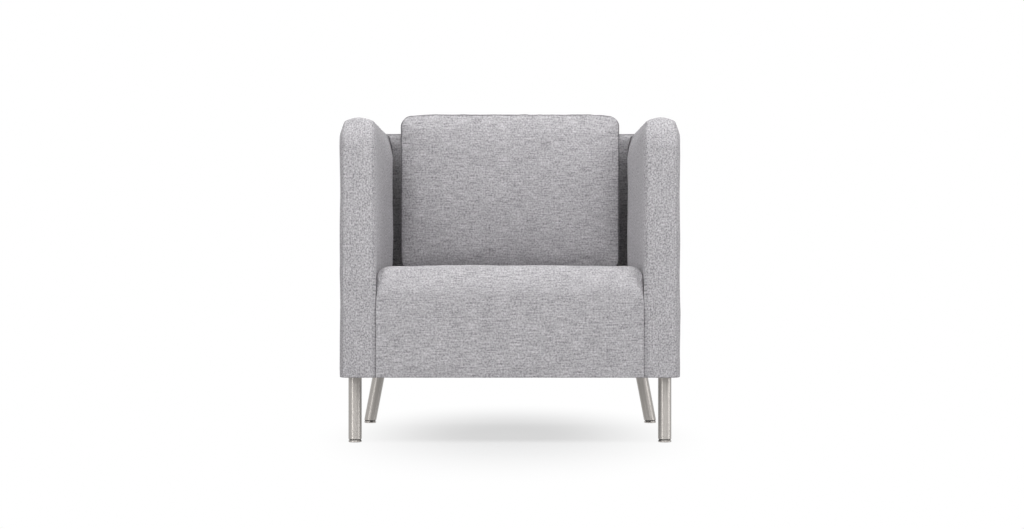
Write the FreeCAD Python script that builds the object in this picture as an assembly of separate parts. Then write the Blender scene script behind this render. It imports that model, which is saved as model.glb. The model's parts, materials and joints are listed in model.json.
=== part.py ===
"""Upholstered box armchair with a loose back cushion and tube legs.

Millimetres, +Z up. The origin is on the floor under the middle of the chair. The chair faces -Y,
and +X is to the right of someone who looks at its front. Each piece is one STEP file in parts/.
"""
import FreeCAD
import Part
import math
import os

V = FreeCAD.Vector

# ---- overall sizes
WIDTH = 760.0  # over both arms
DEPTH = 732.0  # front of the arms to the rear of the back
ARM_HEIGHT = 730.0  # floor to the crown of an arm
BACK_HEIGHT = 734.0  # floor to the crown of the fixed back
UNDERSIDE = 150.0  # floor to the lower edge of the covers
SEAT_HEIGHT = 400.0  # floor to the front of the seat
ARM_THICKNESS = 80.0
BACK_THICKNESS = 100.0

# ---- upholstery
FABRIC = 1.5  # thickness of the woven cover
SLACK = 0.3  # between a cover and the foam under it, and between two covered blocks
SHOULDER_IN = 9.5  # how far an arm or back curves in below its top seam
SHOULDER_DROP = 33.0  # height of that curve
CROWN_RISE = 7.0  # height of the crowned strip over its two seams
BLOCK_CORNER = 6.0  # rounding of the upright corners of arms, seat and back
ARM_TOP_CORNER = 9.0  # rounding of an arm's top at its front and rear
ARM_INNER_FOAM = 20.0
ARM_OUTER_FOAM = 7.5
ARM_END_FOAM = 10.0  # over the front and rear of an arm frame
ARM_TOP_FOAM = 30.0  # frame to crown
BACK_TOP_FOAM = 34.0
BACK_REAR_FOAM = 6.5
SEAT_FOAM = 100.0  # insulator to the front of the seat's top
SEAT_FRONT_ROUND = 28.0  # rounding of the seat's front top edge
SEAT_SIDE_ROUND = 22.0  # rounding of the seat's side top edges
SEAT_DROP = 10.0  # how far the seat falls from its front to the cushion
SEAT_FRONT_FOAM = 12.0
FELT = 4.0  # insulator between springs and foam

# ---- wooden frame
HEM = 4.0  # how far the covers hang below the frame
BOARD = 3.0  # hardboard
POST = 44.0  # depth of an arm post and height of the arm's and back's rails
BACK_POST = 43.0  # depth of the back's posts and rails
RAIL = 22.0  # thickness of the seat rails and of the back posts across the chair
SPRING_ROOM = 6.0  # how much lower the rails that hold the springs are than the side rails
BACK_RAIL_DROP = 38.0  # from the seat foam down to the underside of the back's lower rail
CORNER_BLOCK = 55.0  # leg of the triangular block
CORNER_BLOCK_RAISE = 40.0  # from the frame's underside to the block
CORNER_BLOCK_DROP = 25.0  # from the top of the spring rails to the block

# ---- springs and webbing
SPRINGS = 5
SPRING_WIRE = 3.8
SPRING_MARGIN = 68.0  # from a side rail to the middle of the outer spring
SPRING_BAR = 26.0  # straight part of each bar across
SPRING_PITCH = 22.0  # aimed distance from bar to bar
CLIP_WIDTH = 30.0
CLIP_DEPTH = 12.0
WEB_WIDTH = 58.0
WEB_THICKNESS = 2.0
WEB_GAP = 6.0  # least gap between two webs
WEB_MARGIN = 14.0  # from the frame's rails to the outer webs

# ---- frame joints
BOLT = 8.0
BOLT_FREE = 0.3  # clearance round a bolt or screw, on the radius
BOLT_HEAD = 13.0
BOLT_HEAD_HEIGHT = 5.0
BOLT_END = 3.5  # from the end of a bolt to the board behind its nut
NUT_BARREL = 11.0
NUT_LENGTH = 14.0
NUT_FLANGE = 20.0
NUT_FLANGE_THICKNESS = 1.5
SEAT_BOLT_SETBACKS = (126.0, 166.0)  # from the front and from the rear
BACK_BOLT_RISE = 120.0  # from the seat foam up to the lower bolt
BACK_BOLT_DROP = 80.0  # from the top of the frames down to the upper bolt

# ---- legs
TUBE = 30.0
TUBE_WALL = 2.0
TUBE_END_ROUND = 1.3
FRONT_LEG_INSET = 30.5  # from the outside of an arm
FRONT_LEG_SETBACK = 47.0  # from the front of the arms
REAR_FOOT_INSET = 25.6
REAR_FOOT_SETBACK = 83.0  # from the rear of the back
REAR_LEG_LEAN = 28.8  # how far a rear leg leans in, and forward, from foot to plate
PLATE_DEPTH = 70.0
PLATE_INNER_MARGIN = 12.0  # from the inner screws to the plate's edge
PLATE_OUTER_MARGIN = 3.8  # from the front tube to the plate's edge
LEG_SCREW = 5.0
LEG_SCREW_HEAD = 9.6
LEG_SCREW_SINK = 2.6
LEG_SCREW_LENGTH = 28.0
LEG_SCREW_SPREAD = 25.0  # from the leg to its screws, front and rear

# ---- glides
GLIDE_PROUD = 0.25  # how far the glide stands out past the tube, all round
GLIDE_HEIGHT = 4.5
GLIDE_BEVEL = 1.6
GLIDE_GAP = 1.0  # air between glide and plug with the glide screwed right in
STUD = 8.0
STUD_TOP = 26.0
STUD_HEAD = 12.0
STUD_HEAD_HEIGHT = 2.5
STUD_FREE = 0.3
PLUG_FIT = 0.12  # clearance of the plug in the tube, on the radius
PLUG_FLANGE_INSET = 1.4  # how far the flange stays inside the tube's outside, all round
PLUG_FLANGE_THICKNESS = 1.2
PLUG_TOP = 34.0

# ---- loose back cushion
CUSHION_SIDE_GAP = 30.0  # from an arm to the cushion
CUSHION_HEIGHT = 381.7
CUSHION_THICKNESS = 150.0
CUSHION_CORNER = 24.0  # rounding seen from the front
CUSHION_EDGE = 20.0  # rounding of front and rear edges
REST_GAP = 0.3  # between the cushion and what it rests on or against
ZIP_INSET = 27.0  # from the cushion's side to the end of the zip
ZIP_TAPE = 23.0
ZIP_TAPE_THICKNESS = 0.8
ZIP_COIL = 5.0
ZIP_COIL_HEIGHT = 2.0
ZIP_END = 7.0  # tape past the coil at each end
ZIP_ROOM = 5.0  # depth of the channel that hides the zip
ZIP_SIDE_ROOM = 1.5
SLIDER_LENGTH = 11.0
SLIDER_WALL = 1.2
SLIDER_FREE = 0.3
SLIDER_START = 6.0  # from the coil's end to the slider

# ---- lines that pieces share
FRONT = -DEPTH / 2
REAR = DEPTH / 2
SKIN = FABRIC + SLACK  # from the outside of a cover to its foam
ARM_MIDDLE = WIDTH / 2 - ARM_THICKNESS / 2
ARM_INSIDE = WIDTH / 2 - ARM_THICKNESS
SEAT_SIDE = ARM_INSIDE - SLACK  # outside of the seat's and back's covers
FRAME_SIDE = SEAT_SIDE - SKIN  # outside of the seat frame and back frame
RAIL_INSIDE = FRAME_SIDE - RAIL
FRAME_BOTTOM = UNDERSIDE + HEM
ARM_FRAME_TOP = ARM_HEIGHT - ARM_TOP_FOAM
BACK_FRAME_TOP = BACK_HEIGHT - BACK_TOP_FOAM
ARM_BOARD_IN = ARM_INSIDE + SKIN + ARM_INNER_FOAM
ARM_BOARD_OUT = WIDTH / 2 - SKIN - ARM_OUTER_FOAM
ARM_POST_IN = ARM_BOARD_IN + BOARD
ARM_POST_OUT = ARM_BOARD_OUT - BOARD
ARM_FRAME_Y = (FRONT + SKIN + ARM_END_FOAM, REAR - SKIN - ARM_END_FOAM)
RAIL_TOP = FRAME_BOTTOM + POST
BACK_FACE = REAR - BACK_THICKNESS
BACK_BOARD_Y = (REAR - SKIN - BACK_REAR_FOAM - BOARD, REAR - SKIN - BACK_REAR_FOAM)
BACK_POST_Y = (BACK_BOARD_Y[0] - BACK_POST, BACK_BOARD_Y[0])
SEAT_REAR = BACK_FACE - SLACK
FRONT_RAIL_Y = (FRONT + SKIN + SEAT_FRONT_FOAM, FRONT + SKIN + SEAT_FRONT_FOAM + RAIL)
REAR_RAIL_Y = (BACK_POST_Y[0] - RAIL, BACK_POST_Y[0])
DECK = SEAT_HEIGHT - SEAT_FOAM  # underside of the seat foam
SEAT_FRAME_TOP = DECK - FELT
SPRING_RAIL_TOP = SEAT_FRAME_TOP - SPRING_ROOM
SEAT_TOP_REAR = SEAT_HEIGHT - SEAT_DROP
CUSHION_Y = (SEAT_REAR - CUSHION_THICKNESS, BACK_FACE - REST_GAP)
CUSHION_BOTTOM = SEAT_TOP_REAR + REST_GAP
CUSHION_SIDE = ARM_INSIDE - CUSHION_SIDE_GAP
ZIP_SIDE = CUSHION_SIDE - ZIP_INSET
PLUG_END = GLIDE_HEIGHT + GLIDE_GAP
TUBE_END = PLUG_END + PLUG_FLANGE_THICKNESS
FRONT_LEG_X = WIDTH / 2 - FRONT_LEG_INSET
REAR_FOOT_X = WIDTH / 2 - REAR_FOOT_INSET
FRONT_LEG_Y = FRONT + FRONT_LEG_SETBACK
REAR_FOOT_Y = REAR - REAR_FOOT_SETBACK
PLATES_Y = (FRONT_LEG_Y, REAR_FOOT_Y - REAR_LEG_LEAN)  # the middle of the front and rear plates
SCREW_X = ((RAIL_INSIDE + FRAME_SIDE) / 2, (ARM_POST_IN + ARM_POST_OUT) / 2)
BOLT_AXIS_Z = (FRAME_BOTTOM + RAIL_TOP) / 2
BOLT_AXIS_Y = (BACK_POST_Y[0] + BACK_POST_Y[1]) / 2
SEAT_BOLTS_Y = (FRONT + SEAT_BOLT_SETBACKS[0], REAR - SEAT_BOLT_SETBACKS[1])
BACK_BOLTS_Z = (DECK + BACK_BOLT_RISE, min(ARM_FRAME_TOP, BACK_FRAME_TOP) - BACK_BOLT_DROP)
PLATE_X = (SCREW_X[0] - PLATE_INNER_MARGIN, FRONT_LEG_X + TUBE / 2 + PLATE_OUTER_MARGIN)

PLANES = {
    "XY": (lambda u, v: V(u, v, 0), V(0, 0, 1)),
    "XZ": (lambda u, v: V(u, 0, v), V(0, 1, 0)),
    "YZ": (lambda u, v: V(0, u, v), V(1, 0, 0)),
}


# ---- shape helpers
def box(x, y, z):
    """A box from a (low, high) pair along each axis."""
    return Part.makeBox(x[1] - x[0], y[1] - y[0], z[1] - z[0], V(x[0], y[0], z[0]))


def prism(plane, edges, low, high):
    """The closed outline, pushed out from low to high along the normal of its plane."""
    normal = PLANES[plane][1]
    face = Part.Face(Part.Wire(edges))
    face.translate(normal * low)
    return face.extrude(normal * (high - low))


def outline(plane, corners):
    """Edges through (u, v, radius) corners, where a radius above 0 rounds its corner."""
    place = PLANES[plane][0]
    points = [V(u, v, 0) for u, v, _ in corners]
    turns = []
    for i, corner in enumerate(points):
        radius = corners[i][2]
        back = (points[i - 1] - corner).normalize()
        ahead = (points[(i + 1) % len(points)] - corner).normalize()
        half = back.getAngle(ahead) / 2
        run = radius / math.tan(half)
        inward = (back + ahead).normalize()
        middle = corner + inward * (radius / math.sin(half) - radius)
        turns.append((corner + back * run, middle, corner + ahead * run, radius))
    edges = []
    for i, (start, middle, end, radius) in enumerate(turns):
        if radius > 0:
            arc = [place(p.x, p.y) for p in (start, middle, end)]
            edges.append(Part.Arc(*arc).toShape())
        following = turns[(i + 1) % len(turns)][0]
        if end.distanceToPoint(following) > 1e-6:
            line = Part.LineSegment(place(end.x, end.y), place(following.x, following.y))
            edges.append(line.toShape())
    return edges


def rounded(plane, u, v, low, high, radii):
    """A bar with four corners, rounded in the order low-low, high-low, high-high, low-high."""
    spots = [(u[0], v[0]), (u[1], v[0]), (u[1], v[1]), (u[0], v[1])]
    corners = [(*spot, radius) for spot, radius in zip(spots, radii)]
    return prism(plane, outline(plane, corners), low, high)


def crossing(centre_a, radius_a, centre_b, radius_b):
    """The upper right point where two circles cross."""
    du = centre_b[0] - centre_a[0]
    dv = centre_b[1] - centre_a[1]
    apart = math.hypot(du, dv)
    along = (apart**2 + radius_a**2 - radius_b**2) / (2 * apart)
    off = math.sqrt(radius_a**2 - along**2)
    foot = (centre_a[0] + du * along / apart, centre_a[1] + dv * along / apart)
    ends = [(foot[0] + s * off * dv / apart, foot[1] - s * off * du / apart) for s in (1, -1)]
    return max(ends)


def crowned(plane, middle, width, bottom, crown, inset):
    """Section of an arm or of the back: straight sides, curved shoulders and a crowned strip."""
    place = PLANES[plane][0]
    half = width / 2
    seam = (half - SHOULDER_IN, crown - CROWN_RISE)
    shoulder = (SHOULDER_IN**2 + SHOULDER_DROP**2) / (2 * SHOULDER_IN)
    strip = (seam[0] ** 2 + CROWN_RISE**2) / (2 * CROWN_RISE)
    centre = (half - shoulder, seam[1] - SHOULDER_DROP)
    strip_centre = (0.0, crown - strip)
    corner = crossing(centre, shoulder - inset, strip_centre, strip - inset)
    turn = math.atan2(corner[1] - centre[1], corner[0] - centre[0]) / 2
    reach = shoulder - inset
    on_shoulder = (centre[0] + reach * math.cos(turn), centre[1] + reach * math.sin(turn))
    side = half - inset
    right = [(side, bottom), (side, centre[1]), on_shoulder, corner]
    spots = right + [(0.0, crown - inset)] + [(-u, v) for u, v in reversed(right)]
    points = [place(middle + u, v) for u, v in spots]
    return [
        Part.LineSegment(points[0], points[1]).toShape(),
        Part.Arc(points[1], points[2], points[3]).toShape(),
        Part.Arc(points[3], points[4], points[5]).toShape(),
        Part.Arc(points[5], points[6], points[7]).toShape(),
        Part.LineSegment(points[7], points[8]).toShape(),
        Part.LineSegment(points[8], points[0]).toShape(),
    ]


def round_bar(start, direction, radius, length):
    return Part.makeCylinder(radius, length, start, direction)


def mirrored(shape):
    return shape.mirror(V(0, 0, 0), V(1, 0, 0))


def both_sides(shapes):
    """The right-hand shapes and their left-hand twins, as one group of solids."""
    return Part.makeCompound(shapes + [mirrored(s) for s in shapes])


def cut_all(shape, tools):
    """The shape with every tool that reaches it taken away."""
    near = [t for t in tools if t.BoundBox.intersect(shape.BoundBox)]
    return shape.cut(near) if near else shape


# ---- outer forms; an inset of 0 is the outside of the cover
def arm_form(inset, bottom):
    """The right arm, from its lower edge to its crown."""
    y = (FRONT + inset, REAR - inset)
    x = (ARM_INSIDE + inset, WIDTH / 2 - inset)
    upright = BLOCK_CORNER - inset
    top = ARM_TOP_CORNER - inset
    section = crowned("XZ", ARM_MIDDLE, ARM_THICKNESS, bottom, ARM_HEIGHT, inset)
    body = prism("XZ", section, y[0], y[1])
    plan = rounded("XY", x, y, bottom, ARM_HEIGHT, (upright,) * 4)
    side = rounded("YZ", y, (bottom, ARM_HEIGHT - inset), x[0], x[1], (0, 0, top, top))
    return body.common(plan).common(side)


def back_form(inset, bottom):
    """The fixed back between the arms."""
    side = SEAT_SIDE - inset
    y = (BACK_FACE + inset, REAR - inset)
    section = crowned("YZ", REAR - BACK_THICKNESS / 2, BACK_THICKNESS, bottom, BACK_HEIGHT, inset)
    body = prism("YZ", section, -side, side)
    rear = BLOCK_CORNER - inset
    plan = rounded("XY", (-side, side), y, bottom, BACK_HEIGHT, (0, 0, rear, rear))
    return body.common(plan)


def seat_form(inset, bottom):
    """The seat block, with its rounded front edge and a top that falls to the cushion."""
    side = SEAT_SIDE - inset
    y = (FRONT + inset, SEAT_REAR - inset)
    top = SEAT_HEIGHT - inset
    low = SEAT_TOP_REAR - inset
    profile = [
        (y[0], bottom, 0),
        (y[1], bottom, 0),
        (y[1], low, 0),
        (CUSHION_Y[0], low, 0),
        (y[0], top, SEAT_FRONT_ROUND - inset),
    ]
    body = prism("YZ", outline("YZ", profile), -side, side)
    edge = SEAT_SIDE_ROUND - inset
    across = rounded("XZ", (-side, side), (bottom, top), y[0], y[1], (0, 0, edge, edge))
    front = BLOCK_CORNER - inset
    plan = rounded("XY", (-side, side), y, bottom, SEAT_HEIGHT, (front, front, 0, 0))
    return body.common(across).common(plan)


def cushion_form(inset):
    """The loose cushion, rounded along every edge."""
    half = CUSHION_SIDE - inset
    x = (-half, half)
    y = (CUSHION_Y[0] + inset, CUSHION_Y[1] - inset)
    z = (CUSHION_BOTTOM + inset, CUSHION_BOTTOM + CUSHION_HEIGHT - inset)
    corner = CUSHION_CORNER - inset
    edge = CUSHION_EDGE - inset
    face = rounded("XZ", x, z, y[0], y[1], (corner,) * 4)
    plan = rounded("XY", x, y, z[0], z[1], (edge,) * 4)
    side = rounded("YZ", y, z, x[0], x[1], (edge,) * 4)
    return face.common(plan).common(side)


def zip_channel(wall):
    """Space for the zip in the cushion's underside, grown by the wall that lines it."""
    middle = sum(CUSHION_Y) / 2
    half_x = ZIP_SIDE + ZIP_SIDE_ROOM + wall
    half_y = ZIP_TAPE / 2 + ZIP_SIDE_ROOM + wall
    top = CUSHION_BOTTOM + ZIP_ROOM + wall
    return box((-half_x, half_x), (middle - half_y, middle + half_y), (CUSHION_BOTTOM - 1, top))


# ---- fasteners of the frame, on the right-hand side
def bolt_points():
    """Where a bolt's axis crosses the side of the chair: (y, z)."""
    seat = [(y, BOLT_AXIS_Z) for y in SEAT_BOLTS_Y]
    back = [(BOLT_AXIS_Y, z) for z in BACK_BOLTS_Z]
    return seat + back


def frame_bolt(y, z):
    start = V(RAIL_INSIDE - BOLT_HEAD_HEIGHT, y, z)
    head = round_bar(start, V(1, 0, 0), BOLT_HEAD / 2, BOLT_HEAD_HEIGHT)
    length = ARM_POST_OUT - BOLT_END - RAIL_INSIDE
    shank = round_bar(V(RAIL_INSIDE, y, z), V(1, 0, 0), BOLT / 2, length)
    return head.fuse(shank).removeSplitter()


def frame_nut(y, z):
    """A nut with a flange, let into the outside of the arm frame."""
    flange = round_bar(V(ARM_POST_OUT, y, z), V(-1, 0, 0), NUT_FLANGE / 2, NUT_FLANGE_THICKNESS)
    barrel = round_bar(V(ARM_POST_OUT, y, z), V(-1, 0, 0), NUT_BARREL / 2, NUT_LENGTH)
    bore = bolt_hole(y, z)
    return flange.fuse(barrel).removeSplitter().cut(bore)


def bolt_hole(y, z):
    start = V(RAIL_INSIDE - 1, y, z)
    return round_bar(start, V(1, 0, 0), BOLT / 2 + BOLT_FREE, ARM_POST_OUT - RAIL_INSIDE + 1)


def nut_hole(y, z):
    """Room for the nut's barrel and flange."""
    start = V(ARM_POST_OUT, y, z)
    barrel = round_bar(start, V(-1, 0, 0), NUT_BARREL / 2 + BOLT_FREE, NUT_LENGTH + BOLT_FREE)
    flange = round_bar(start, V(-1, 0, 0), NUT_FLANGE / 2 + BOLT_FREE, NUT_FLANGE_THICKNESS)
    return barrel.fuse(flange)


def joint_block(y, z, room):
    """A packing block of post stock between the arm's inner board and its cover."""
    half = POST / 2
    y_span = (max(y - half, ARM_FRAME_Y[0]) - room, min(y + half, ARM_FRAME_Y[1]) + room)
    return box((ARM_INSIDE + FABRIC, ARM_BOARD_IN), y_span, (z - half - room, z + half + room))


def leg_screw(x, y, free):
    """A countersunk screw that points up into the frame."""
    head = LEG_SCREW_HEAD / 2 + free
    shank = LEG_SCREW / 2 + free
    cone = Part.makeCone(head, shank, LEG_SCREW_SINK, V(x, y, UNDERSIDE))
    rod = round_bar(V(x, y, UNDERSIDE), V(0, 0, 1), shank, LEG_SCREW_LENGTH + free)
    return cone.fuse(rod).removeSplitter()


def screw_points():
    """The four screws of the front plate and of the rear plate."""
    return [(x, y + s * LEG_SCREW_SPREAD) for y in PLATES_Y for x in SCREW_X for s in (-1, 1)]


BOLT_HOLES = [bolt_hole(y, z) for y, z in bolt_points()]
BOLT_HOLES_BOTH = BOLT_HOLES + [mirrored(h) for h in BOLT_HOLES]
NUT_HOLES = [nut_hole(y, z) for y, z in bolt_points()]
SCREW_HOLES = [leg_screw(x, y, BOLT_FREE) for x, y in screw_points()]
SCREW_HOLES_BOTH = SCREW_HOLES + [mirrored(h) for h in SCREW_HOLES]


# ---- arms (right-hand side)
def behind_cover():
    """Where the covers of neighbouring blocks stop short of the underside."""
    reach = ARM_INSIDE + FABRIC + SLACK
    return box((-reach, reach), (FRONT + SKIN, REAR - SKIN), (UNDERSIDE - 1, FRAME_BOTTOM))


def arm_pieces():
    post_x = (ARM_POST_IN, ARM_POST_OUT)
    front_y = (ARM_FRAME_Y[0], ARM_FRAME_Y[0] + POST)
    rear_y = (ARM_FRAME_Y[1] - POST, ARM_FRAME_Y[1])
    post_z = (RAIL_TOP, ARM_FRAME_TOP - POST)
    holes = BOLT_HOLES + NUT_HOLES + SCREW_HOLES
    frame_z = (FRAME_BOTTOM, ARM_FRAME_TOP)
    pieces = {
        "arm_front_post": box(post_x, front_y, post_z),
        "arm_rear_post": cut_all(box(post_x, rear_y, post_z), holes),
        "arm_bottom_rail": cut_all(box(post_x, ARM_FRAME_Y, (FRAME_BOTTOM, RAIL_TOP)), holes),
        "arm_top_rail": box(post_x, ARM_FRAME_Y, (ARM_FRAME_TOP - POST, ARM_FRAME_TOP)),
        "arm_outer_board": box((ARM_POST_OUT, ARM_BOARD_OUT), ARM_FRAME_Y, frame_z),
        "arm_inner_board": cut_all(box((ARM_BOARD_IN, ARM_POST_IN), ARM_FRAME_Y, frame_z), holes),
    }
    frame = box((ARM_BOARD_IN, ARM_BOARD_OUT), ARM_FRAME_Y, (FRAME_BOTTOM - 1, ARM_FRAME_TOP))
    blocks = [joint_block(y, z, SLACK) for y, z in bolt_points()]
    pieces["arm_padding"] = arm_form(SKIN, FRAME_BOTTOM).cut([frame] + blocks)
    shell = arm_form(0, UNDERSIDE).cut(arm_form(FABRIC, UNDERSIDE))
    pieces["arm_cover"] = cut_all(shell.cut(behind_cover()), BOLT_HOLES)
    return pieces


# ---- back
def webbing(x, y, low, high):
    """As many straps across the back as fit between low and high, evenly spread."""
    count = int((high - low + WEB_GAP) // (WEB_WIDTH + WEB_GAP))
    step = (high - low - WEB_WIDTH) / (count - 1)
    starts = [low + i * step for i in range(count)]
    return Part.makeCompound([box(x, y, (z, z + WEB_WIDTH)) for z in starts])


def back_pieces():
    post_x = (RAIL_INSIDE, FRAME_SIDE)
    whole_x = (-FRAME_SIDE, FRAME_SIDE)
    between_x = (-RAIL_INSIDE, RAIL_INSIDE)
    wide_x = (-SEAT_SIDE - 1, SEAT_SIDE + 1)
    rail_z = BACK_FRAME_TOP - POST
    post = cut_all(box(post_x, BACK_POST_Y, (FRAME_BOTTOM, rail_z)), BOLT_HOLES)
    bottom_z = (DECK - BACK_RAIL_DROP, DECK - BACK_RAIL_DROP + POST)
    web_y = (BACK_POST_Y[0] - WEB_THICKNESS, BACK_POST_Y[0])
    frame = box(wide_x, (web_y[0], BACK_BOARD_Y[1]), (FRAME_BOTTOM - 1, BACK_FRAME_TOP))
    tuck = box(wide_x, (BACK_FACE - 1, BACK_POST_Y[0]), (UNDERSIDE - 1, DECK))
    padding = back_form(SKIN, FRAME_BOTTOM).cut([frame, tuck])
    shell = back_form(0, UNDERSIDE).cut(back_form(FABRIC, UNDERSIDE))
    return {
        "back_post_left": mirrored(post),
        "back_post_right": post,
        "back_top_rail": box(whole_x, BACK_POST_Y, (rail_z, BACK_FRAME_TOP)),
        "back_bottom_rail": box(between_x, BACK_POST_Y, bottom_z),
        "back_webbing": webbing(whole_x, web_y, bottom_z[1] + WEB_MARGIN, rail_z - WEB_MARGIN),
        "back_rear_board": box(whole_x, BACK_BOARD_Y, (FRAME_BOTTOM, BACK_FRAME_TOP)),
        "back_padding": padding,
        "back_cover": cut_all(shell.cut([behind_cover(), tuck]), BOLT_HOLES_BOTH),
    }


# ---- seat
def corner_block(x, y, toward_y):
    """A triangular block in the corner of the seat frame, glued to both rails."""
    corners = [(x, y, 0), (x - CORNER_BLOCK, y, 0), (x, y + toward_y * CORNER_BLOCK, 0)]
    z = (FRAME_BOTTOM + CORNER_BLOCK_RAISE, SPRING_RAIL_TOP - CORNER_BLOCK_DROP)
    return prism("XY", outline("XY", corners), *z)


def spring_line():
    """The y of the two end bars of a spring, over the middle of the front and rear rails."""
    return sum(FRONT_RAIL_Y) / 2, sum(REAR_RAIL_Y) / 2


def spring(x):
    """One zigzag spring from rail to rail: bars across, joined by half circles."""
    first, last = spring_line()
    bars = round((last - first) / SPRING_PITCH)
    bend = (last - first) / bars / 2
    level = SPRING_RAIL_TOP + SPRING_ROOM / 2
    half = SPRING_BAR / 2
    edges = []
    for i in range(bars + 1):
        y = first + 2 * bend * i
        side = 1 if i % 2 == 0 else -1
        tip = V(x + side * half, y, level)
        edges.append(Part.LineSegment(V(x - side * half, y, level), tip).toShape())
        if i < bars:
            out = V(x + side * (half + bend), y + bend, level)
            edges.append(Part.Arc(tip, out, V(tip.x, y + 2 * bend, level)).toShape())
    path = Part.Wire(edges)
    ring = Part.makeCircle(SPRING_WIRE / 2, V(x - half, first, level), V(1, 0, 0))
    return path.makePipeShell([Part.Wire([ring])], True, False)


def spring_clip(x, y):
    """A lined clip over the end bar of a spring."""
    half = CLIP_WIDTH / 2
    across = (y - CLIP_DEPTH / 2, y + CLIP_DEPTH / 2)
    body = box((x - half, x + half), across, (SPRING_RAIL_TOP, SEAT_FRAME_TOP))
    level = SPRING_RAIL_TOP + SPRING_ROOM / 2
    bore = round_bar(V(x - half - 1, y, level), V(1, 0, 0), SPRING_WIRE / 2 + SLACK, CLIP_WIDTH + 2)
    return body.cut(bore)


def seat_pieces():
    whole_x = (-FRAME_SIDE, FRAME_SIDE)
    between_x = (-RAIL_INSIDE, RAIL_INSIDE)
    low_z = (FRAME_BOTTOM, SPRING_RAIL_TOP)
    side_y = (FRONT_RAIL_Y[1], BACK_POST_Y[0])
    side_rail = box((RAIL_INSIDE, FRAME_SIDE), side_y, (FRAME_BOTTOM, SEAT_FRAME_TOP))
    side_rail = cut_all(side_rail, BOLT_HOLES + SCREW_HOLES)
    front_rail = box(whole_x, FRONT_RAIL_Y, low_z)
    blocks = [
        corner_block(RAIL_INSIDE, FRONT_RAIL_Y[1], 1),
        corner_block(RAIL_INSIDE, REAR_RAIL_Y[0], -1),
    ]
    outer = RAIL_INSIDE - SPRING_MARGIN
    rows = [outer * (2 * i / (SPRINGS - 1) - 1) for i in range(SPRINGS)]
    felt_y = (FRONT_RAIL_Y[0], SEAT_REAR - SKIN)
    above = box((-WIDTH, WIDTH), (-DEPTH, DEPTH), (DECK, SEAT_HEIGHT + 1))
    apron = box((-WIDTH, WIDTH), (-DEPTH, FRONT_RAIL_Y[0]), (UNDERSIDE, DECK))
    shell = seat_form(0, UNDERSIDE).cut(seat_form(FABRIC, UNDERSIDE))
    tucked = box(whole_x, (SEAT_REAR - SKIN, REAR), (UNDERSIDE - 1, DECK))
    return {
        "seat_front_rail": cut_all(front_rail, SCREW_HOLES_BOTH),
        "seat_rear_rail": box(between_x, REAR_RAIL_Y, low_z),
        "seat_side_rail_left": mirrored(side_rail),
        "seat_side_rail_right": side_rail,
        "corner_blocks": both_sides(blocks),
        "seat_springs": Part.makeCompound([spring(x) for x in rows]),
        "spring_clips": Part.makeCompound([spring_clip(x, y) for x in rows for y in spring_line()]),
        "spring_insulator": box(whole_x, felt_y, (SEAT_FRAME_TOP, DECK)),
        "seat_foam": seat_form(SKIN, FRAME_BOTTOM).common(above),
        "seat_front_padding": seat_form(SKIN, FRAME_BOTTOM).common(apron),
        "seat_cover": cut_all(shell.cut([behind_cover(), tucked]), BOLT_HOLES_BOTH),
    }


# ---- legs and glides (right-hand side)
def lean(rear):
    """From the end of the tube to the plate."""
    rise = UNDERSIDE - TUBE_END
    return V(-REAR_LEG_LEAN, -REAR_LEG_LEAN, rise) if rear else V(0, 0, rise)


def foot(rear):
    """The middle of the tube's end, which is also the axis of its glide."""
    return V(REAR_FOOT_X, REAR_FOOT_Y, TUBE_END) if rear else V(FRONT_LEG_X, FRONT_LEG_Y, TUBE_END)


def leaning_bar(rear, radius, low, high):
    """A bar along the leg, cut level at both ends."""
    along = lean(rear)
    start = foot(rear) - along
    bar = round_bar(start, along, radius, along.Length * 3)
    slab = box((0, WIDTH), (-DEPTH, DEPTH), (low, high))
    return bar.common(slab)


def leg(rear):
    """A tube whose lower rim is rounded, welded under a plate."""
    tube = leaning_bar(rear, TUBE / 2, TUBE_END, UNDERSIDE)
    rim = [e for e in tube.Edges if e.BoundBox.ZMax < TUBE_END + 0.01]
    tube = tube.makeFillet(TUBE_END_ROUND, rim)
    tube = tube.cut(leaning_bar(rear, TUBE / 2 - TUBE_WALL, TUBE_END - 1, UNDERSIDE))
    middle = PLATES_Y[1] if rear else PLATES_Y[0]
    plate_y = (middle - PLATE_DEPTH / 2, middle + PLATE_DEPTH / 2)
    plate = box(PLATE_X, plate_y, (UNDERSIDE, FRAME_BOTTOM))
    return tube.fuse(cut_all(plate, SCREW_HOLES)).removeSplitter()


def leg_plug(rear):
    """A plug with a flange, threaded for the glide."""
    plug = leaning_bar(rear, TUBE / 2 - TUBE_WALL - PLUG_FIT, TUBE_END, PLUG_TOP)
    flange = leaning_bar(rear, TUBE / 2 - PLUG_FLANGE_INSET, PLUG_END, TUBE_END)
    axis = foot(rear)
    bore = round_bar(V(axis.x, axis.y, 0), V(0, 0, 1), STUD / 2 + STUD_FREE, STUD_TOP + STUD_FREE)
    return plug.fuse(flange).removeSplitter().cut(bore)


def glide_stud(rear):
    """The screw of a glide, with the round head that turns in the base."""
    axis = foot(rear)
    top = GLIDE_HEIGHT - STUD_FREE
    head = round_bar(V(axis.x, axis.y, top), V(0, 0, -1), STUD_HEAD / 2, STUD_HEAD_HEIGHT)
    rod = round_bar(V(axis.x, axis.y, top), V(0, 0, 1), STUD / 2, STUD_TOP - top)
    return head.fuse(rod).removeSplitter()


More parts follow.
